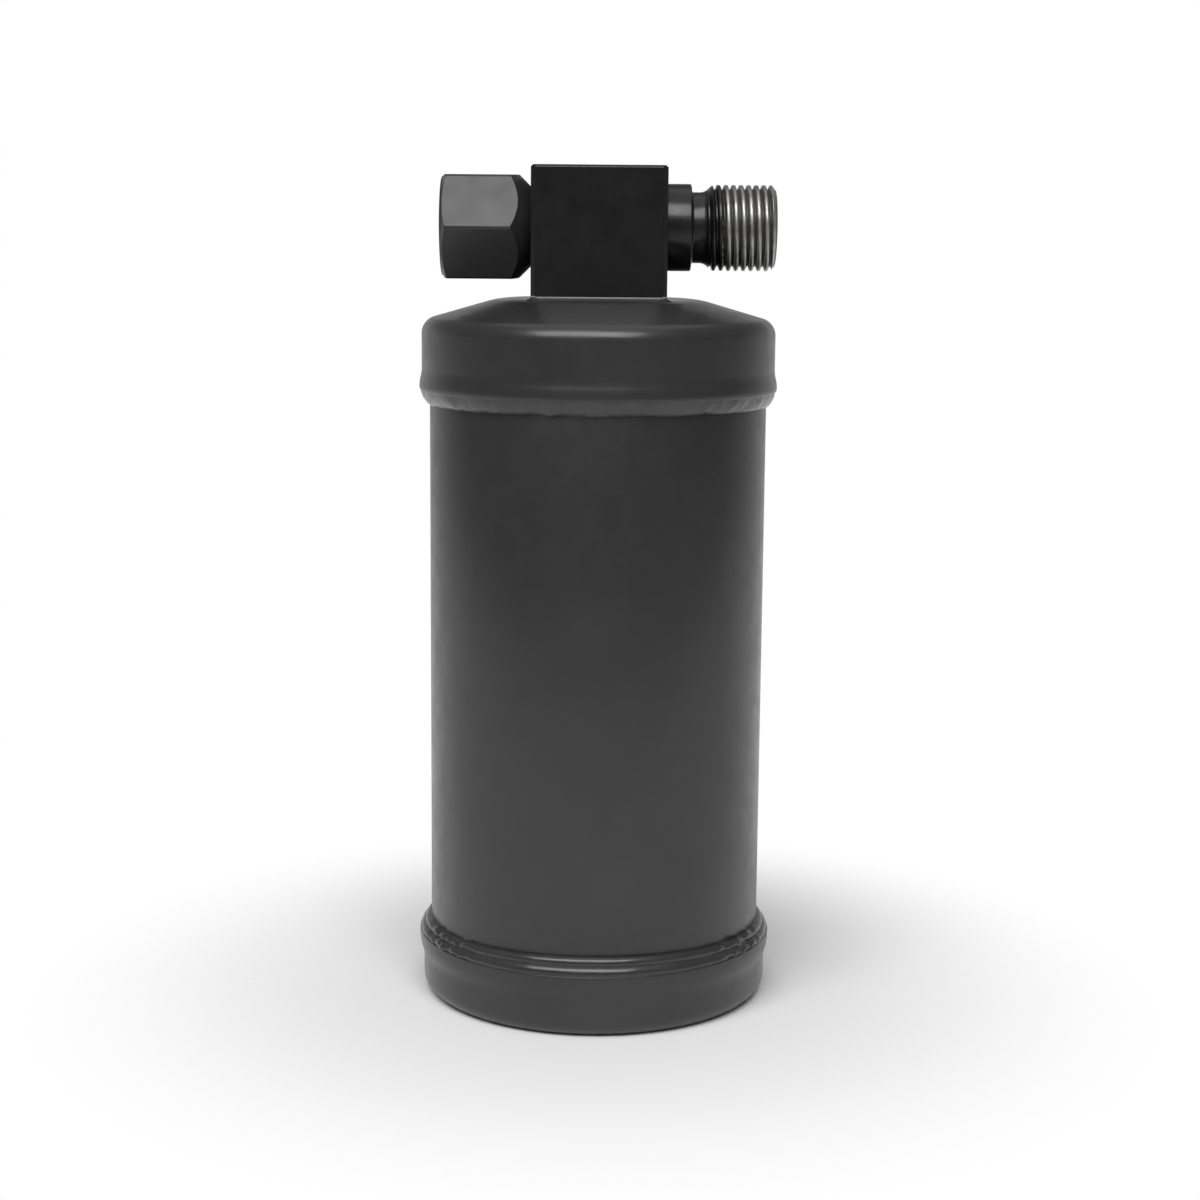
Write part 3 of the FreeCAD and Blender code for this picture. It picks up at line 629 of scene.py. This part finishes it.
# %% Inlet stub
stub_corners = [
    (-9.5, 2.8),
    (-9.5, 5.0),
    (-12.5, 5.0),
    (-12.5, 4.76),
    (-17.1, 4.76),
    (-17.1, 6.4),
    (-19.0, 6.4),
    (-19.0, 3.6),
    (-20.95, 3.6),
    (-20.95, 3.95),
    (-24.45, 3.95),
    (-25.05, 3.35),
    (-25.05, 2.8),
]
stub = draw_section("inlet_stub_turned", stub_corners)
round_corners(stub, [(-17.1, 6.4), (-19.0, 6.4)], 0.6, 5)
round_corners(stub, [(-19.0, 3.6), (-20.95, 3.6), (-20.95, 3.95), (-25.05, 3.35)], 0.12, 2)
round_corners(stub, [(-24.45, 3.95)], 0.25, 3)
spin_section(stub, ALONG, FITTING_STEPS)
lift(stub)
smooth(stub)

# %% O-ring
SEAL_SECTION = 0.89
SEAL_ALONG = -19.975
SEAL_MIDDLE = 4.51

bpy.ops.object.select_all(action="DESELECT")
bpy.ops.mesh.primitive_circle_add(vertices=32, radius=SEAL_SECTION * MM, rotation=(pi / 2, 0, 0))
seal = bpy.context.object
seal.location = (SEAL_ALONG * MM, 0, SEAL_MIDDLE * MM)
apply_transform(seal)
begin("inlet_seal_ring")
select_points(seal, lambda place: abs(place.x - SEAL_ALONG) < 0.01)
bpy.ops.transform.resize(value=(1, 1, 0.985), center_override=(0, 0, SEAL_MIDDLE * MM))
spin_section(seal, ALONG, FITTING_STEPS)
lift(seal)
smooth(seal, 40)

# %% [markdown]
# Each finish starts from what the real surface is. One function turns an sRGB hex colour into the linear
# numbers that shaders use, and one small function adds a node with its settings and links. The patterns
# read Object coordinates, which are metres here, so a grain of 1.5 mm is a noise scale of 1 / 0.0015.


# %% Helpers for the finishes
def linear(colour):
    """Turn a colour such as #808080 into linear red, green, blue and a full alpha."""
    shares = [int(colour[place : place + 2], 16) / 255 for place in (1, 3, 5)]
    bent = [share / 12.92 if share <= 0.04045 else ((share + 0.055) / 1.055) ** 2.4 for share in shares]
    return bent + [1.0]


def add(tree, kind, inputs=None, **settings):
    """Add a node, set its properties, and fill its inputs with plain values or with other nodes' outputs."""
    made = tree.nodes.new(kind)
    for key, value in settings.items():
        setattr(made, key, value)
    for socket, value in (inputs or {}).items():
        if isinstance(value, bpy.types.NodeSocket):
            tree.links.new(value, made.inputs[socket])
        else:
            made.inputs[socket].default_value = value
    return made


def work_out(tree, operation, one, other):
    """The result of one step of arithmetic on two numbers."""
    return add(tree, "ShaderNodeMath", {0: one, 1: other}, operation=operation).outputs[0]


def ray_kinds(tree):
    """Whether a ray comes from the camera, and whether it comes off a glossy face or through a clear one."""
    rays = add(tree, "ShaderNodeLightPath").outputs
    return rays["Is Camera Ray"], work_out(tree, "ADD", rays["Is Glossy Ray"], rays["Is Transmission Ray"])


def new_finish(finish_name):
    """A material with nothing in it but its coordinates."""
    finish = bpy.data.materials.new(finish_name)
    finish.use_nodes = True
    finish.node_tree.nodes.clear()
    return finish, finish.node_tree, add(finish.node_tree, "ShaderNodeTexCoord").outputs["Object"]


def grain(size):
    """The noise scale whose lumps are about a size in millimetres."""
    return 1 / (size * MM)


def varied(tree, place, size, low, high, detail=3.0):
    """A number that wanders between two values in patches of a size in millimetres."""
    noise = add(tree, "ShaderNodeTexNoise", {"Vector": place, "Scale": grain(size), "Detail": detail})
    limits = {"Value": noise.outputs["Fac"], "From Min": 0.3, "From Max": 0.7, "To Min": low, "To Max": high}
    return add(tree, "ShaderNodeMapRange", limits).outputs["Result"]


def raised(tree, height, depth, over=None):
    """A bump of a depth in millimetres, laid over an earlier bump where one is given."""
    inputs = {"Height": height, "Distance": depth * MM}
    if over:
        inputs["Normal"] = over
    return add(tree, "ShaderNodeBump", inputs).outputs["Normal"]


# %% [markdown]
# The can is sprayed with black enamel and stoved. The film is smooth and half glossy, with the slight
# orange peel of sprayed paint, about 1.6 mm from hollow to hollow, and its sheen is a little uneven.
# Black paint shows mostly what it reflects, so its colour is nearly black and its roughness does the
# work. Over a weld the film lies on spatter and ripples, so its relief is much deeper there. On the
# square bar and the outlet's collar it is a shade darker, and on the nut it is duller.


# %% Painted finishes
def enamel(tree, place, colour, other_colour, dull, gloss, peel, peel_size):
    """Sprayed enamel: two close blacks in large soft patches, uneven sheen, a thin gloss and orange peel."""
    patches = varied(tree, place, 18, 0.0, 1.0)
    colours = {"Factor": patches, "A": linear(colour), "B": linear(other_colour)}
    tone = add(tree, "ShaderNodeMix", colours, data_type="RGBA").outputs["Result"]
    peel_noise = add(tree, "ShaderNodeTexNoise", {"Vector": place, "Scale": grain(peel_size), "Detail": 2.0})
    return add(
        tree,
        "ShaderNodeBsdfPrincipled",
        {
            "Base Color": tone,
            "Roughness": varied(tree, place, 4, dull - 0.05, dull + 0.05),
            "IOR": 1.5,
            "Coat Weight": gloss,
            "Coat Roughness": 0.1,
            "Normal": raised(tree, peel_noise.outputs["Fac"], peel),
        },
    ).outputs["BSDF"]


def painted(finish_name, *facts):
    finish, tree, place = new_finish(finish_name)
    add(tree, "ShaderNodeOutputMaterial", {"Surface": enamel(tree, place, *facts)})
    return finish


BAR_BLACK = ("#0d0d0d", "#131313", 0.3, 0.15, 0.004, 1.2)

stoved_enamel = painted("black_stoving_enamel", "#2a2a2b", "#303031", 0.33, 0.2, 0.007, 1.6)
bead_enamel = painted("enamel_over_bead", "#222223", "#363637", 0.33, 0.4, 0.04, 0.8)
weld_enamel = painted("enamel_over_weld", "#1e1e1f", "#3c3c3d", 0.3, 0.35, 0.05, 0.9)
bar_enamel = painted("black_enamel_on_bar", *BAR_BLACK)
nut_enamel = painted("black_enamel_on_nut", "#2b2b2b", "#303030", 0.38, 0.05, 0.005, 1.2)
braze_enamel = painted("enamel_over_braze", "#2e2e2e", "#3a3a39", 0.28, 0.3, 0.03, 0.7)
enamels = (stoved_enamel, bead_enamel, weld_enamel, bar_enamel, nut_enamel, braze_enamel)
print("Painted finishes:", [made.name for made in enamels])

# %% [markdown]
# The outlet thread was capped while the can was painted, so the paint stops with a ragged line just
# after the first turns, and the rest is bare free-cutting steel with a thin dark oil film. The tool left
# rings on it, finer than the picture can show, so they are drawn 0.2 mm apart. The roots of the thread
# get a painted shade, a dark dull coat. Painting a mask by hand would work, but both lines are known in
# millimetres: the place along X ends the paint, with noise on it, and the distance from the axis ends the
# painted shade.


# %% Painted and bare steel on the outlet
def turned_steel(tree, place, colour, dull, ring):
    """Steel fresh from a lathe: rings across X, patches of oil, and a metal's own reflections."""
    rings = {"Vector": place, "Scale": 0.314 / (ring * MM), "Distortion": 0.4, "Detail": 1.0}
    tool_marks = add(tree, "ShaderNodeTexWave", rings, wave_type="BANDS", bands_direction="X")
    oil = {"Factor": varied(tree, place, 2.5, 0.0, 1.0), "A": linear(colour), "B": linear("#8f8e8c")}
    return add(
        tree,
        "ShaderNodeBsdfPrincipled",
        {
            "Base Color": add(tree, "ShaderNodeMix", oil, data_type="RGBA").outputs["Result"],
            "Metallic": 1.0,
            "Roughness": varied(tree, place, 1.5, dull - 0.06, dull + 0.06),
            "Normal": raised(tree, tool_marks.outputs["Fac"], 0.004),
        },
    ).outputs["BSDF"]


PAINT_END = 22.9

capped_thread, tree, place = new_finish("half_painted_steel")
along = add(tree, "ShaderNodeSeparateXYZ", {"Vector": place}).outputs["X"]
ragged = work_out(tree, "ADD", along, varied(tree, place, 1.2, -0.35 * MM, 0.35 * MM))
bare = add(
    tree,
    "ShaderNodeMapRange",
    {"Value": ragged, "From Min": (PAINT_END - 0.1) * MM, "From Max": (PAINT_END + 0.1) * MM},
)
off_axis = {"Vector": place, "Location": (0, 0, -FITTING_HEIGHT * MM), "Scale": (0, 1, 1)}
across = add(tree, "ShaderNodeMapping", off_axis).outputs["Vector"]
radius = add(tree, "ShaderNodeVectorMath", {0: across}, operation="LENGTH").outputs["Value"]
# Painted shade: from the root up to just under the crest, the thread fades into a dark, dull coat that
# stands for the shade in the grooves.
crest = add(
    tree,
    "ShaderNodeMapRange",
    {"Value": radius, "From Min": (THREAD_ROOT + 0.05) * MM, "From Max": (THREAD_ROOT + 0.45) * MM},
    interpolation_type="SMOOTHSTEP",
)
root_shade_look = {"Base Color": linear("#302f2d"), "Roughness": 0.42}
painted_root_shade = add(tree, "ShaderNodeBsdfPrincipled", root_shade_look).outputs["BSDF"]
steel = turned_steel(tree, place, "#c2c2c0", 0.42, 0.2)
thread_mix = add(tree, "ShaderNodeMixShader", {0: crest.outputs["Result"], 1: painted_root_shade, 2: steel}).outputs[0]
covers = {0: bare.outputs["Result"], 1: enamel(tree, place, *BAR_BLACK), 2: thread_mix}
add(tree, "ShaderNodeOutputMaterial", {"Surface": add(tree, "ShaderNodeMixShader", covers).outputs[0]})

bare_stub, tree, place = new_finish("turned_free_cutting_steel")
add(tree, "ShaderNodeOutputMaterial", {"Surface": turned_steel(tree, place, "#b4b1ac", 0.3, 0.2)})

# %% [markdown]
# O-rings for refrigerant are moulded nitrile rubber: black, soft to the eye, with a bloom that dulls it
# in patches and a very fine grain from the mould.

# %% Seal rubber
seal_rubber, tree, place = new_finish("moulded_nitrile_rubber")
mould_grain = add(tree, "ShaderNodeTexNoise", {"Vector": place, "Scale": grain(0.25), "Detail": 2.0})
bloom = {"Factor": varied(tree, place, 2, 0.0, 1.0), "A": linear("#151515"), "B": linear("#222222")}
rubber = add(
    tree,
    "ShaderNodeBsdfPrincipled",
    {
        "Base Color": add(tree, "ShaderNodeMix", bloom, data_type="RGBA").outputs["Result"],
        "Roughness": varied(tree, place, 2, 0.45, 0.6),
        "IOR": 1.52,
        "Normal": raised(tree, mould_grain.outputs["Fac"], 0.01),
    },
)
add(tree, "ShaderNodeOutputMaterial", {"Surface": rubber.outputs["BSDF"]})

# %% [markdown]
# Nothing of the inside shows in the photograph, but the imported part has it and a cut-open view would
# show it. The pickup tube is drawn steel with lines along its length. The plates and their support are
# zinc plated, with the soft flecks that zinc grows. The spring is oil-tempered wire, a brownish grey.

# %% Steels inside the can
drawn_steel, tree, place = new_finish("drawn_steel_tube")
stretched = add(tree, "ShaderNodeMapping", {"Vector": place, "Scale": (1.0, 1.0, 0.04)}).outputs["Vector"]
draw_lines = add(tree, "ShaderNodeTexNoise", {"Vector": stretched, "Scale": grain(0.3), "Detail": 3.0})
drawn = add(
    tree,
    "ShaderNodeBsdfPrincipled",
    {
        "Base Color": linear("#b7b5b1"),
        "Metallic": 1.0,
        "Roughness": varied(tree, stretched, 0.6, 0.24, 0.4),
        "Normal": raised(tree, draw_lines.outputs["Fac"], 0.006),
    },
)
add(tree, "ShaderNodeOutputMaterial", {"Surface": drawn.outputs["BSDF"]})

zinc_plate, tree, place = new_finish("zinc_plated_sheet")
flecks = add(tree, "ShaderNodeTexVoronoi", {"Vector": place, "Scale": grain(2.2)})
fleck_tone = {"Factor": flecks.outputs["Distance"], "A": linear("#c2c4c6"), "B": linear("#a3a6aa")}
plated = add(
    tree,
    "ShaderNodeBsdfPrincipled",
    {
        "Base Color": add(tree, "ShaderNodeMix", fleck_tone, data_type="RGBA").outputs["Result"],
        "Metallic": 1.0,
        "Roughness": varied(tree, place, 1.5, 0.28, 0.42),
        "Normal": raised(tree, flecks.outputs["Distance"], 0.01),
    },
)
add(tree, "ShaderNodeOutputMaterial", {"Surface": plated.outputs["BSDF"]})

tempered_wire, tree, place = new_finish("oil_tempered_wire")
scale_marks = add(tree, "ShaderNodeTexNoise", {"Vector": place, "Scale": grain(0.5), "Detail": 4.0})
wire_tone = {"Factor": varied(tree, place, 1.5, 0.0, 1.0), "A": linear("#4b4744"), "B": linear("#6a625b")}
wire = add(
    tree,
    "ShaderNodeBsdfPrincipled",
    {
        "Base Color": add(tree, "ShaderNodeMix", wire_tone, data_type="RGBA").outputs["Result"],
        "Metallic": 1.0,
        "Roughness": varied(tree, place, 1, 0.32, 0.5),
        "Normal": raised(tree, scale_marks.outputs["Fac"], 0.01),
    },
)
add(tree, "ShaderNodeOutputMaterial", {"Surface": wire.outputs["BSDF"]})

# %% [markdown]
# The strainer's screen is stainless wire cloth in a cage of natural nylon. Real cloth of this kind has a
# wire every 0.15 mm, too fine to show, so two crossed waves draw one every 0.4 mm. The nylon is cream,
# slightly waxy, and has the fine grain of a sparked mould.

# %% Wire cloth and cage
wire_cloth, tree, place = new_finish("stainless_wire_cloth")
CLOTH_WIRE = 0.4
cloth = {"Vector": place, "Scale": 0.314 / (CLOTH_WIRE * MM)}
across = add(tree, "ShaderNodeTexWave", cloth, wave_type="BANDS", bands_direction="X")
upright = add(tree, "ShaderNodeTexWave", cloth, wave_type="BANDS", bands_direction="Z")
woven = work_out(tree, "MAXIMUM", across.outputs["Fac"], upright.outputs["Fac"])
cloth_tone = {"Factor": woven, "A": linear("#4c4c4c"), "B": linear("#bdbdbb")}
cloth_shader = add(
    tree,
    "ShaderNodeBsdfPrincipled",
    {
        "Base Color": add(tree, "ShaderNodeMix", cloth_tone, data_type="RGBA").outputs["Result"],
        "Metallic": 1.0,
        "Roughness": varied(tree, place, 1, 0.28, 0.4),
        "Normal": raised(tree, woven, 0.1),
    },
)
add(tree, "ShaderNodeOutputMaterial", {"Surface": cloth_shader.outputs["BSDF"]})

cage_nylon, tree, place = new_finish("moulded_natural_nylon")
spark_grain = add(tree, "ShaderNodeTexNoise", {"Vector": place, "Scale": grain(0.2), "Detail": 3.0})
nylon_tone = {"Factor": varied(tree, place, 5, 0.0, 1.0), "A": linear("#ddd9cb"), "B": linear("#e6e2d6")}
nylon = add(
    tree,
    "ShaderNodeBsdfPrincipled",
    {
        "Base Color": add(tree, "ShaderNodeMix", nylon_tone, data_type="RGBA").outputs["Result"],
        "Roughness": varied(tree, place, 2, 0.42, 0.55),
        "IOR": 1.53,
        "Normal": raised(tree, spark_grain.outputs["Fac"], 0.01),
    },
)
add(tree, "ShaderNodeOutputMaterial", {"Surface": nylon.outputs["BSDF"]})

# %% [markdown]
# The filter pads are pressed felt: matt, cream, with short fibres lying every way. The desiccant is
# molecular sieve in beads of about 2 mm, packed tight. Thousands of real spheres would weigh the model
# down for a place that nobody sees, so a cell pattern draws them: each cell's distance from its middle
# gives the bead's round top and its own shade of tan.

# %% Felt and beads
filter_felt, tree, place = new_finish("pressed_felt")
lying = add(tree, "ShaderNodeMapping", {"Vector": place, "Scale": (1.0, 0.3, 2.5)}).outputs["Vector"]
tangle = {"Vector": lying, "Scale": grain(0.6), "Detail": 6.0, "Distortion": 1.5}
fibres = add(tree, "ShaderNodeTexNoise", tangle)
felt_tone = {"Factor": fibres.outputs["Fac"], "A": linear("#d3cdb9"), "B": linear("#ece7d8")}
felt = add(
    tree,
    "ShaderNodeBsdfPrincipled",
    {
        "Base Color": add(tree, "ShaderNodeMix", felt_tone, data_type="RGBA").outputs["Result"],
        "Roughness": 0.92,
        "Sheen Weight": 0.3,
        "Normal": raised(tree, fibres.outputs["Fac"], 0.15),
    },
)
add(tree, "ShaderNodeOutputMaterial", {"Surface": felt.outputs["BSDF"]})

sieve_beads, tree, place = new_finish("molecular_sieve_beads")
BEAD = 2.0
cells = add(tree, "ShaderNodeTexVoronoi", {"Vector": place, "Scale": grain(BEAD), "Randomness": 0.7})
round_top = add(
    tree,
    "ShaderNodeMapRange",
    {"Value": cells.outputs["Distance"], "From Max": 0.6, "To Min": 1.0, "To Max": 0.0},
    interpolation_type="SMOOTHSTEP",
)
own_shade = add(tree, "ShaderNodeSeparateColor", {"Color": cells.outputs["Color"]}).outputs["Red"]
bead_tone = {"Factor": own_shade, "A": linear("#bfa684"), "B": linear("#d9c5a6")}
bead = add(
    tree,
    "ShaderNodeBsdfPrincipled",
    {
        "Base Color": add(tree, "ShaderNodeMix", bead_tone, data_type="RGBA").outputs["Result"],
        "Roughness": varied(tree, place, 1, 0.7, 0.85),
        "Normal": raised(tree, round_top.outputs["Result"], 0.8),
    },
)
add(tree, "ShaderNodeOutputMaterial", {"Surface": bead.outputs["BSDF"]})

# %% Give the finishes to the pieces and to the nodes that stay
for piece, finish in (
    (can_tube, stoved_enamel),
    (bottom_cap, stoved_enamel),
    (top_cap, stoved_enamel),
    (upper_weld, weld_enamel),
    (lower_weld, bead_enamel),
    (head_block, bar_enamel),
    (block_braze, braze_enamel),
    (nut, nut_enamel),
    (outlet, capped_thread),
    (stub, bare_stub),
    (seal, seal_rubber),
):
    piece.data.materials.append(finish)

for node, finish in (
    ("pickup_tube", drawn_steel),
    ("pickup_braze", drawn_steel),
    ("strainer_frame", cage_nylon),
    ("strainer_screen", wire_cloth),
    ("plate_support", zinc_plate),
    ("lower_plate", zinc_plate),
    ("upper_plate", zinc_plate),
    ("lower_pad", filter_felt),
    ("upper_pad", filter_felt),
    ("desiccant_bed", sieve_beads),
    ("retaining_spring", tempered_wire),
):
    for material_slot in nodes[node].material_slots:
        material_slot.material = finish

# %% [markdown]
# Every piece rides on the body of the solid that it stands for. Only the nut turns by itself, so it is
# the one piece that rides on the nut's body.

# %% Tie the pieces to the part
for piece, node, slot in (
    (can_tube, "body_tube", "painted_steel"),
    (bottom_cap, "bottom_cap", "painted_steel"),
    (top_cap, "top_cap", "painted_steel"),
    (upper_weld, "upper_weld", "painted_steel"),
    (lower_weld, "lower_weld", "painted_steel"),
    (head_block, "head_block", "painted_steel"),
    (block_braze, "block_braze", "painted_steel"),
    (outlet, "outlet_fitting", "painted_steel"),
    (nut, "swivel_nut", "painted_steel"),
    (stub, "inlet_stub", "bare_steel"),
    (seal, "inlet_o_ring", "seal_rubber"),
):
    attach(piece, "nut" if node == "swivel_nut" else "canister")
    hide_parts(node)

# %% [markdown]
# The drier stands on a white table in a plain studio. A soft box high in front gives the long highlights
# on the shoulder, the nut and the fitting, and a weak light overhead fills the table. What the camera
# sees behind is white paper: the table fades into it away from the can and keeps the shadow near the can.
# Far in front the table is painted greyer, a painted shade for the weaker light that reaches it there.
# The upper part of the tube mirrors that part of it, while the foot mirrors the white paper close by.
# Behind the can the paper shows in reflections too, which draws the pale lines down both sides of the
# tube. In front the room is dark, so the flat faces stay dark.

# %% Table
bpy.ops.object.select_all(action="DESELECT")
bpy.ops.mesh.primitive_circle_add(vertices=96, radius=3.0, fill_type="NGON")
table = bpy.context.object
table.name = "white_table"
paper, tree, place = new_finish("white_paper")
distance = add(tree, "ShaderNodeVectorMath", {0: place}, operation="LENGTH")
far = add(
    tree,
    "ShaderNodeMapRange",
    {"Value": distance.outputs["Value"], "From Min": 0.04, "From Max": 0.115},
    interpolation_type="SMOOTHSTEP",
)
rearward = add(tree, "ShaderNodeSeparateXYZ", {"Vector": place}).outputs["Y"]
behind_the_can = {"Value": rearward, "From Min": 0.0, "From Max": 0.15, "To Max": 0.5}
rear = add(tree, "ShaderNodeMapRange", behind_the_can).outputs["Result"]
# Painted shade: the paper's colour turns grey far in front of the can, where it stands for weaker light.
before_the_can = {"Value": rearward, "From Min": -0.4, "From Max": -0.12}
painted_shade_in_front = add(tree, "ShaderNodeMapRange", before_the_can).outputs["Result"]
from_camera, mirrored = ray_kinds(tree)
looks = work_out(tree, "ADD", from_camera, work_out(tree, "MULTIPLY", mirrored, rear))
seen = work_out(tree, "MULTIPLY", far.outputs["Result"], looks)
ground = {"Factor": painted_shade_in_front, "A": linear("#acacac"), "B": linear("#fafafa")}
paper_tone_with_painted_shade = add(tree, "ShaderNodeMix", ground, data_type="RGBA").outputs["Result"]
lit = add(tree, "ShaderNodeBsdfDiffuse", {"Color": paper_tone_with_painted_shade})
bright = add(tree, "ShaderNodeEmission", {"Color": linear("#ffffff"), "Strength": 1.0})
paper_mix = {0: seen, 1: lit.outputs[0], 2: bright.outputs[0]}
add(tree, "ShaderNodeOutputMaterial", {"Surface": add(tree, "ShaderNodeMixShader", paper_mix).outputs[0]})
table.data.materials.append(paper)


# %% Lights
AIM_HEIGHT = 0.12


def soft_box(box_name, direction, reach, width, height, radiance):
    """A lamp that faces the top of the can; its power follows from the brightness of its face."""
    target = Vector((0, 0, AIM_HEIGHT))
    bpy.ops.object.select_all(action="DESELECT")
    bpy.ops.object.light_add(type="AREA", location=target + Vector(direction).normalized() * reach)
    lamp = bpy.context.object
    lamp.name = box_name
    lamp.rotation_euler = (lamp.location - target).to_track_quat("Z", "Y").to_euler()
    lamp.data.shape = "RECTANGLE"
    lamp.data.size = width
    lamp.data.size_y = height
    lamp.data.energy = radiance * pi * width * height
    print(f"{box_name}: {lamp.data.energy:.2f} W")


soft_box("front_soft_box", (-0.11, -0.63, 0.77), 1.4, 1.5, 0.8, 5.2)
soft_box("overhead_soft_box", (0.0, 0.15, 1.0), 1.2, 1.2, 1.2, 0.5)

# %% Studio walls
world = bpy.data.worlds.new("studio")
bpy.context.scene.world = world
world.use_nodes = True
walls = world.node_tree
walls.nodes.clear()
direction = add(walls, "ShaderNodeTexCoord").outputs["Generated"]
direction = add(walls, "ShaderNodeSeparateXYZ", {"Vector": direction}).outputs
low_down = {"Value": direction["Z"], "From Min": 0.1, "From Max": 0.45, "To Min": 0.5, "To Max": 0.0}
low = add(walls, "ShaderNodeMapRange", low_down).outputs["Result"]
at_the_back = {"Value": direction["Y"], "From Min": 0.15, "From Max": 0.75}
rear = add(walls, "ShaderNodeMapRange", at_the_back).outputs["Result"]
from_camera, mirrored = ray_kinds(walls)
behind = work_out(walls, "MULTIPLY", mirrored, work_out(walls, "MULTIPLY", low, rear))
looks = add(walls, "ShaderNodeMath", {0: from_camera, 1: behind}, operation="ADD", use_clamp=True)
dim = add(walls, "ShaderNodeBackground", {"Color": linear("#ffffff"), "Strength": 0.15})
white = add(walls, "ShaderNodeBackground", {"Color": linear("#ffffff"), "Strength": 1.0})
wall_mix = {0: looks.outputs[0], 1: dim.outputs[0], 2: white.outputs[0]}
add(walls, "ShaderNodeOutputWorld", {"Surface": add(walls, "ShaderNodeMixShader", wall_mix).outputs[0]})
bpy.context.scene.view_settings.view_transform = "Standard"
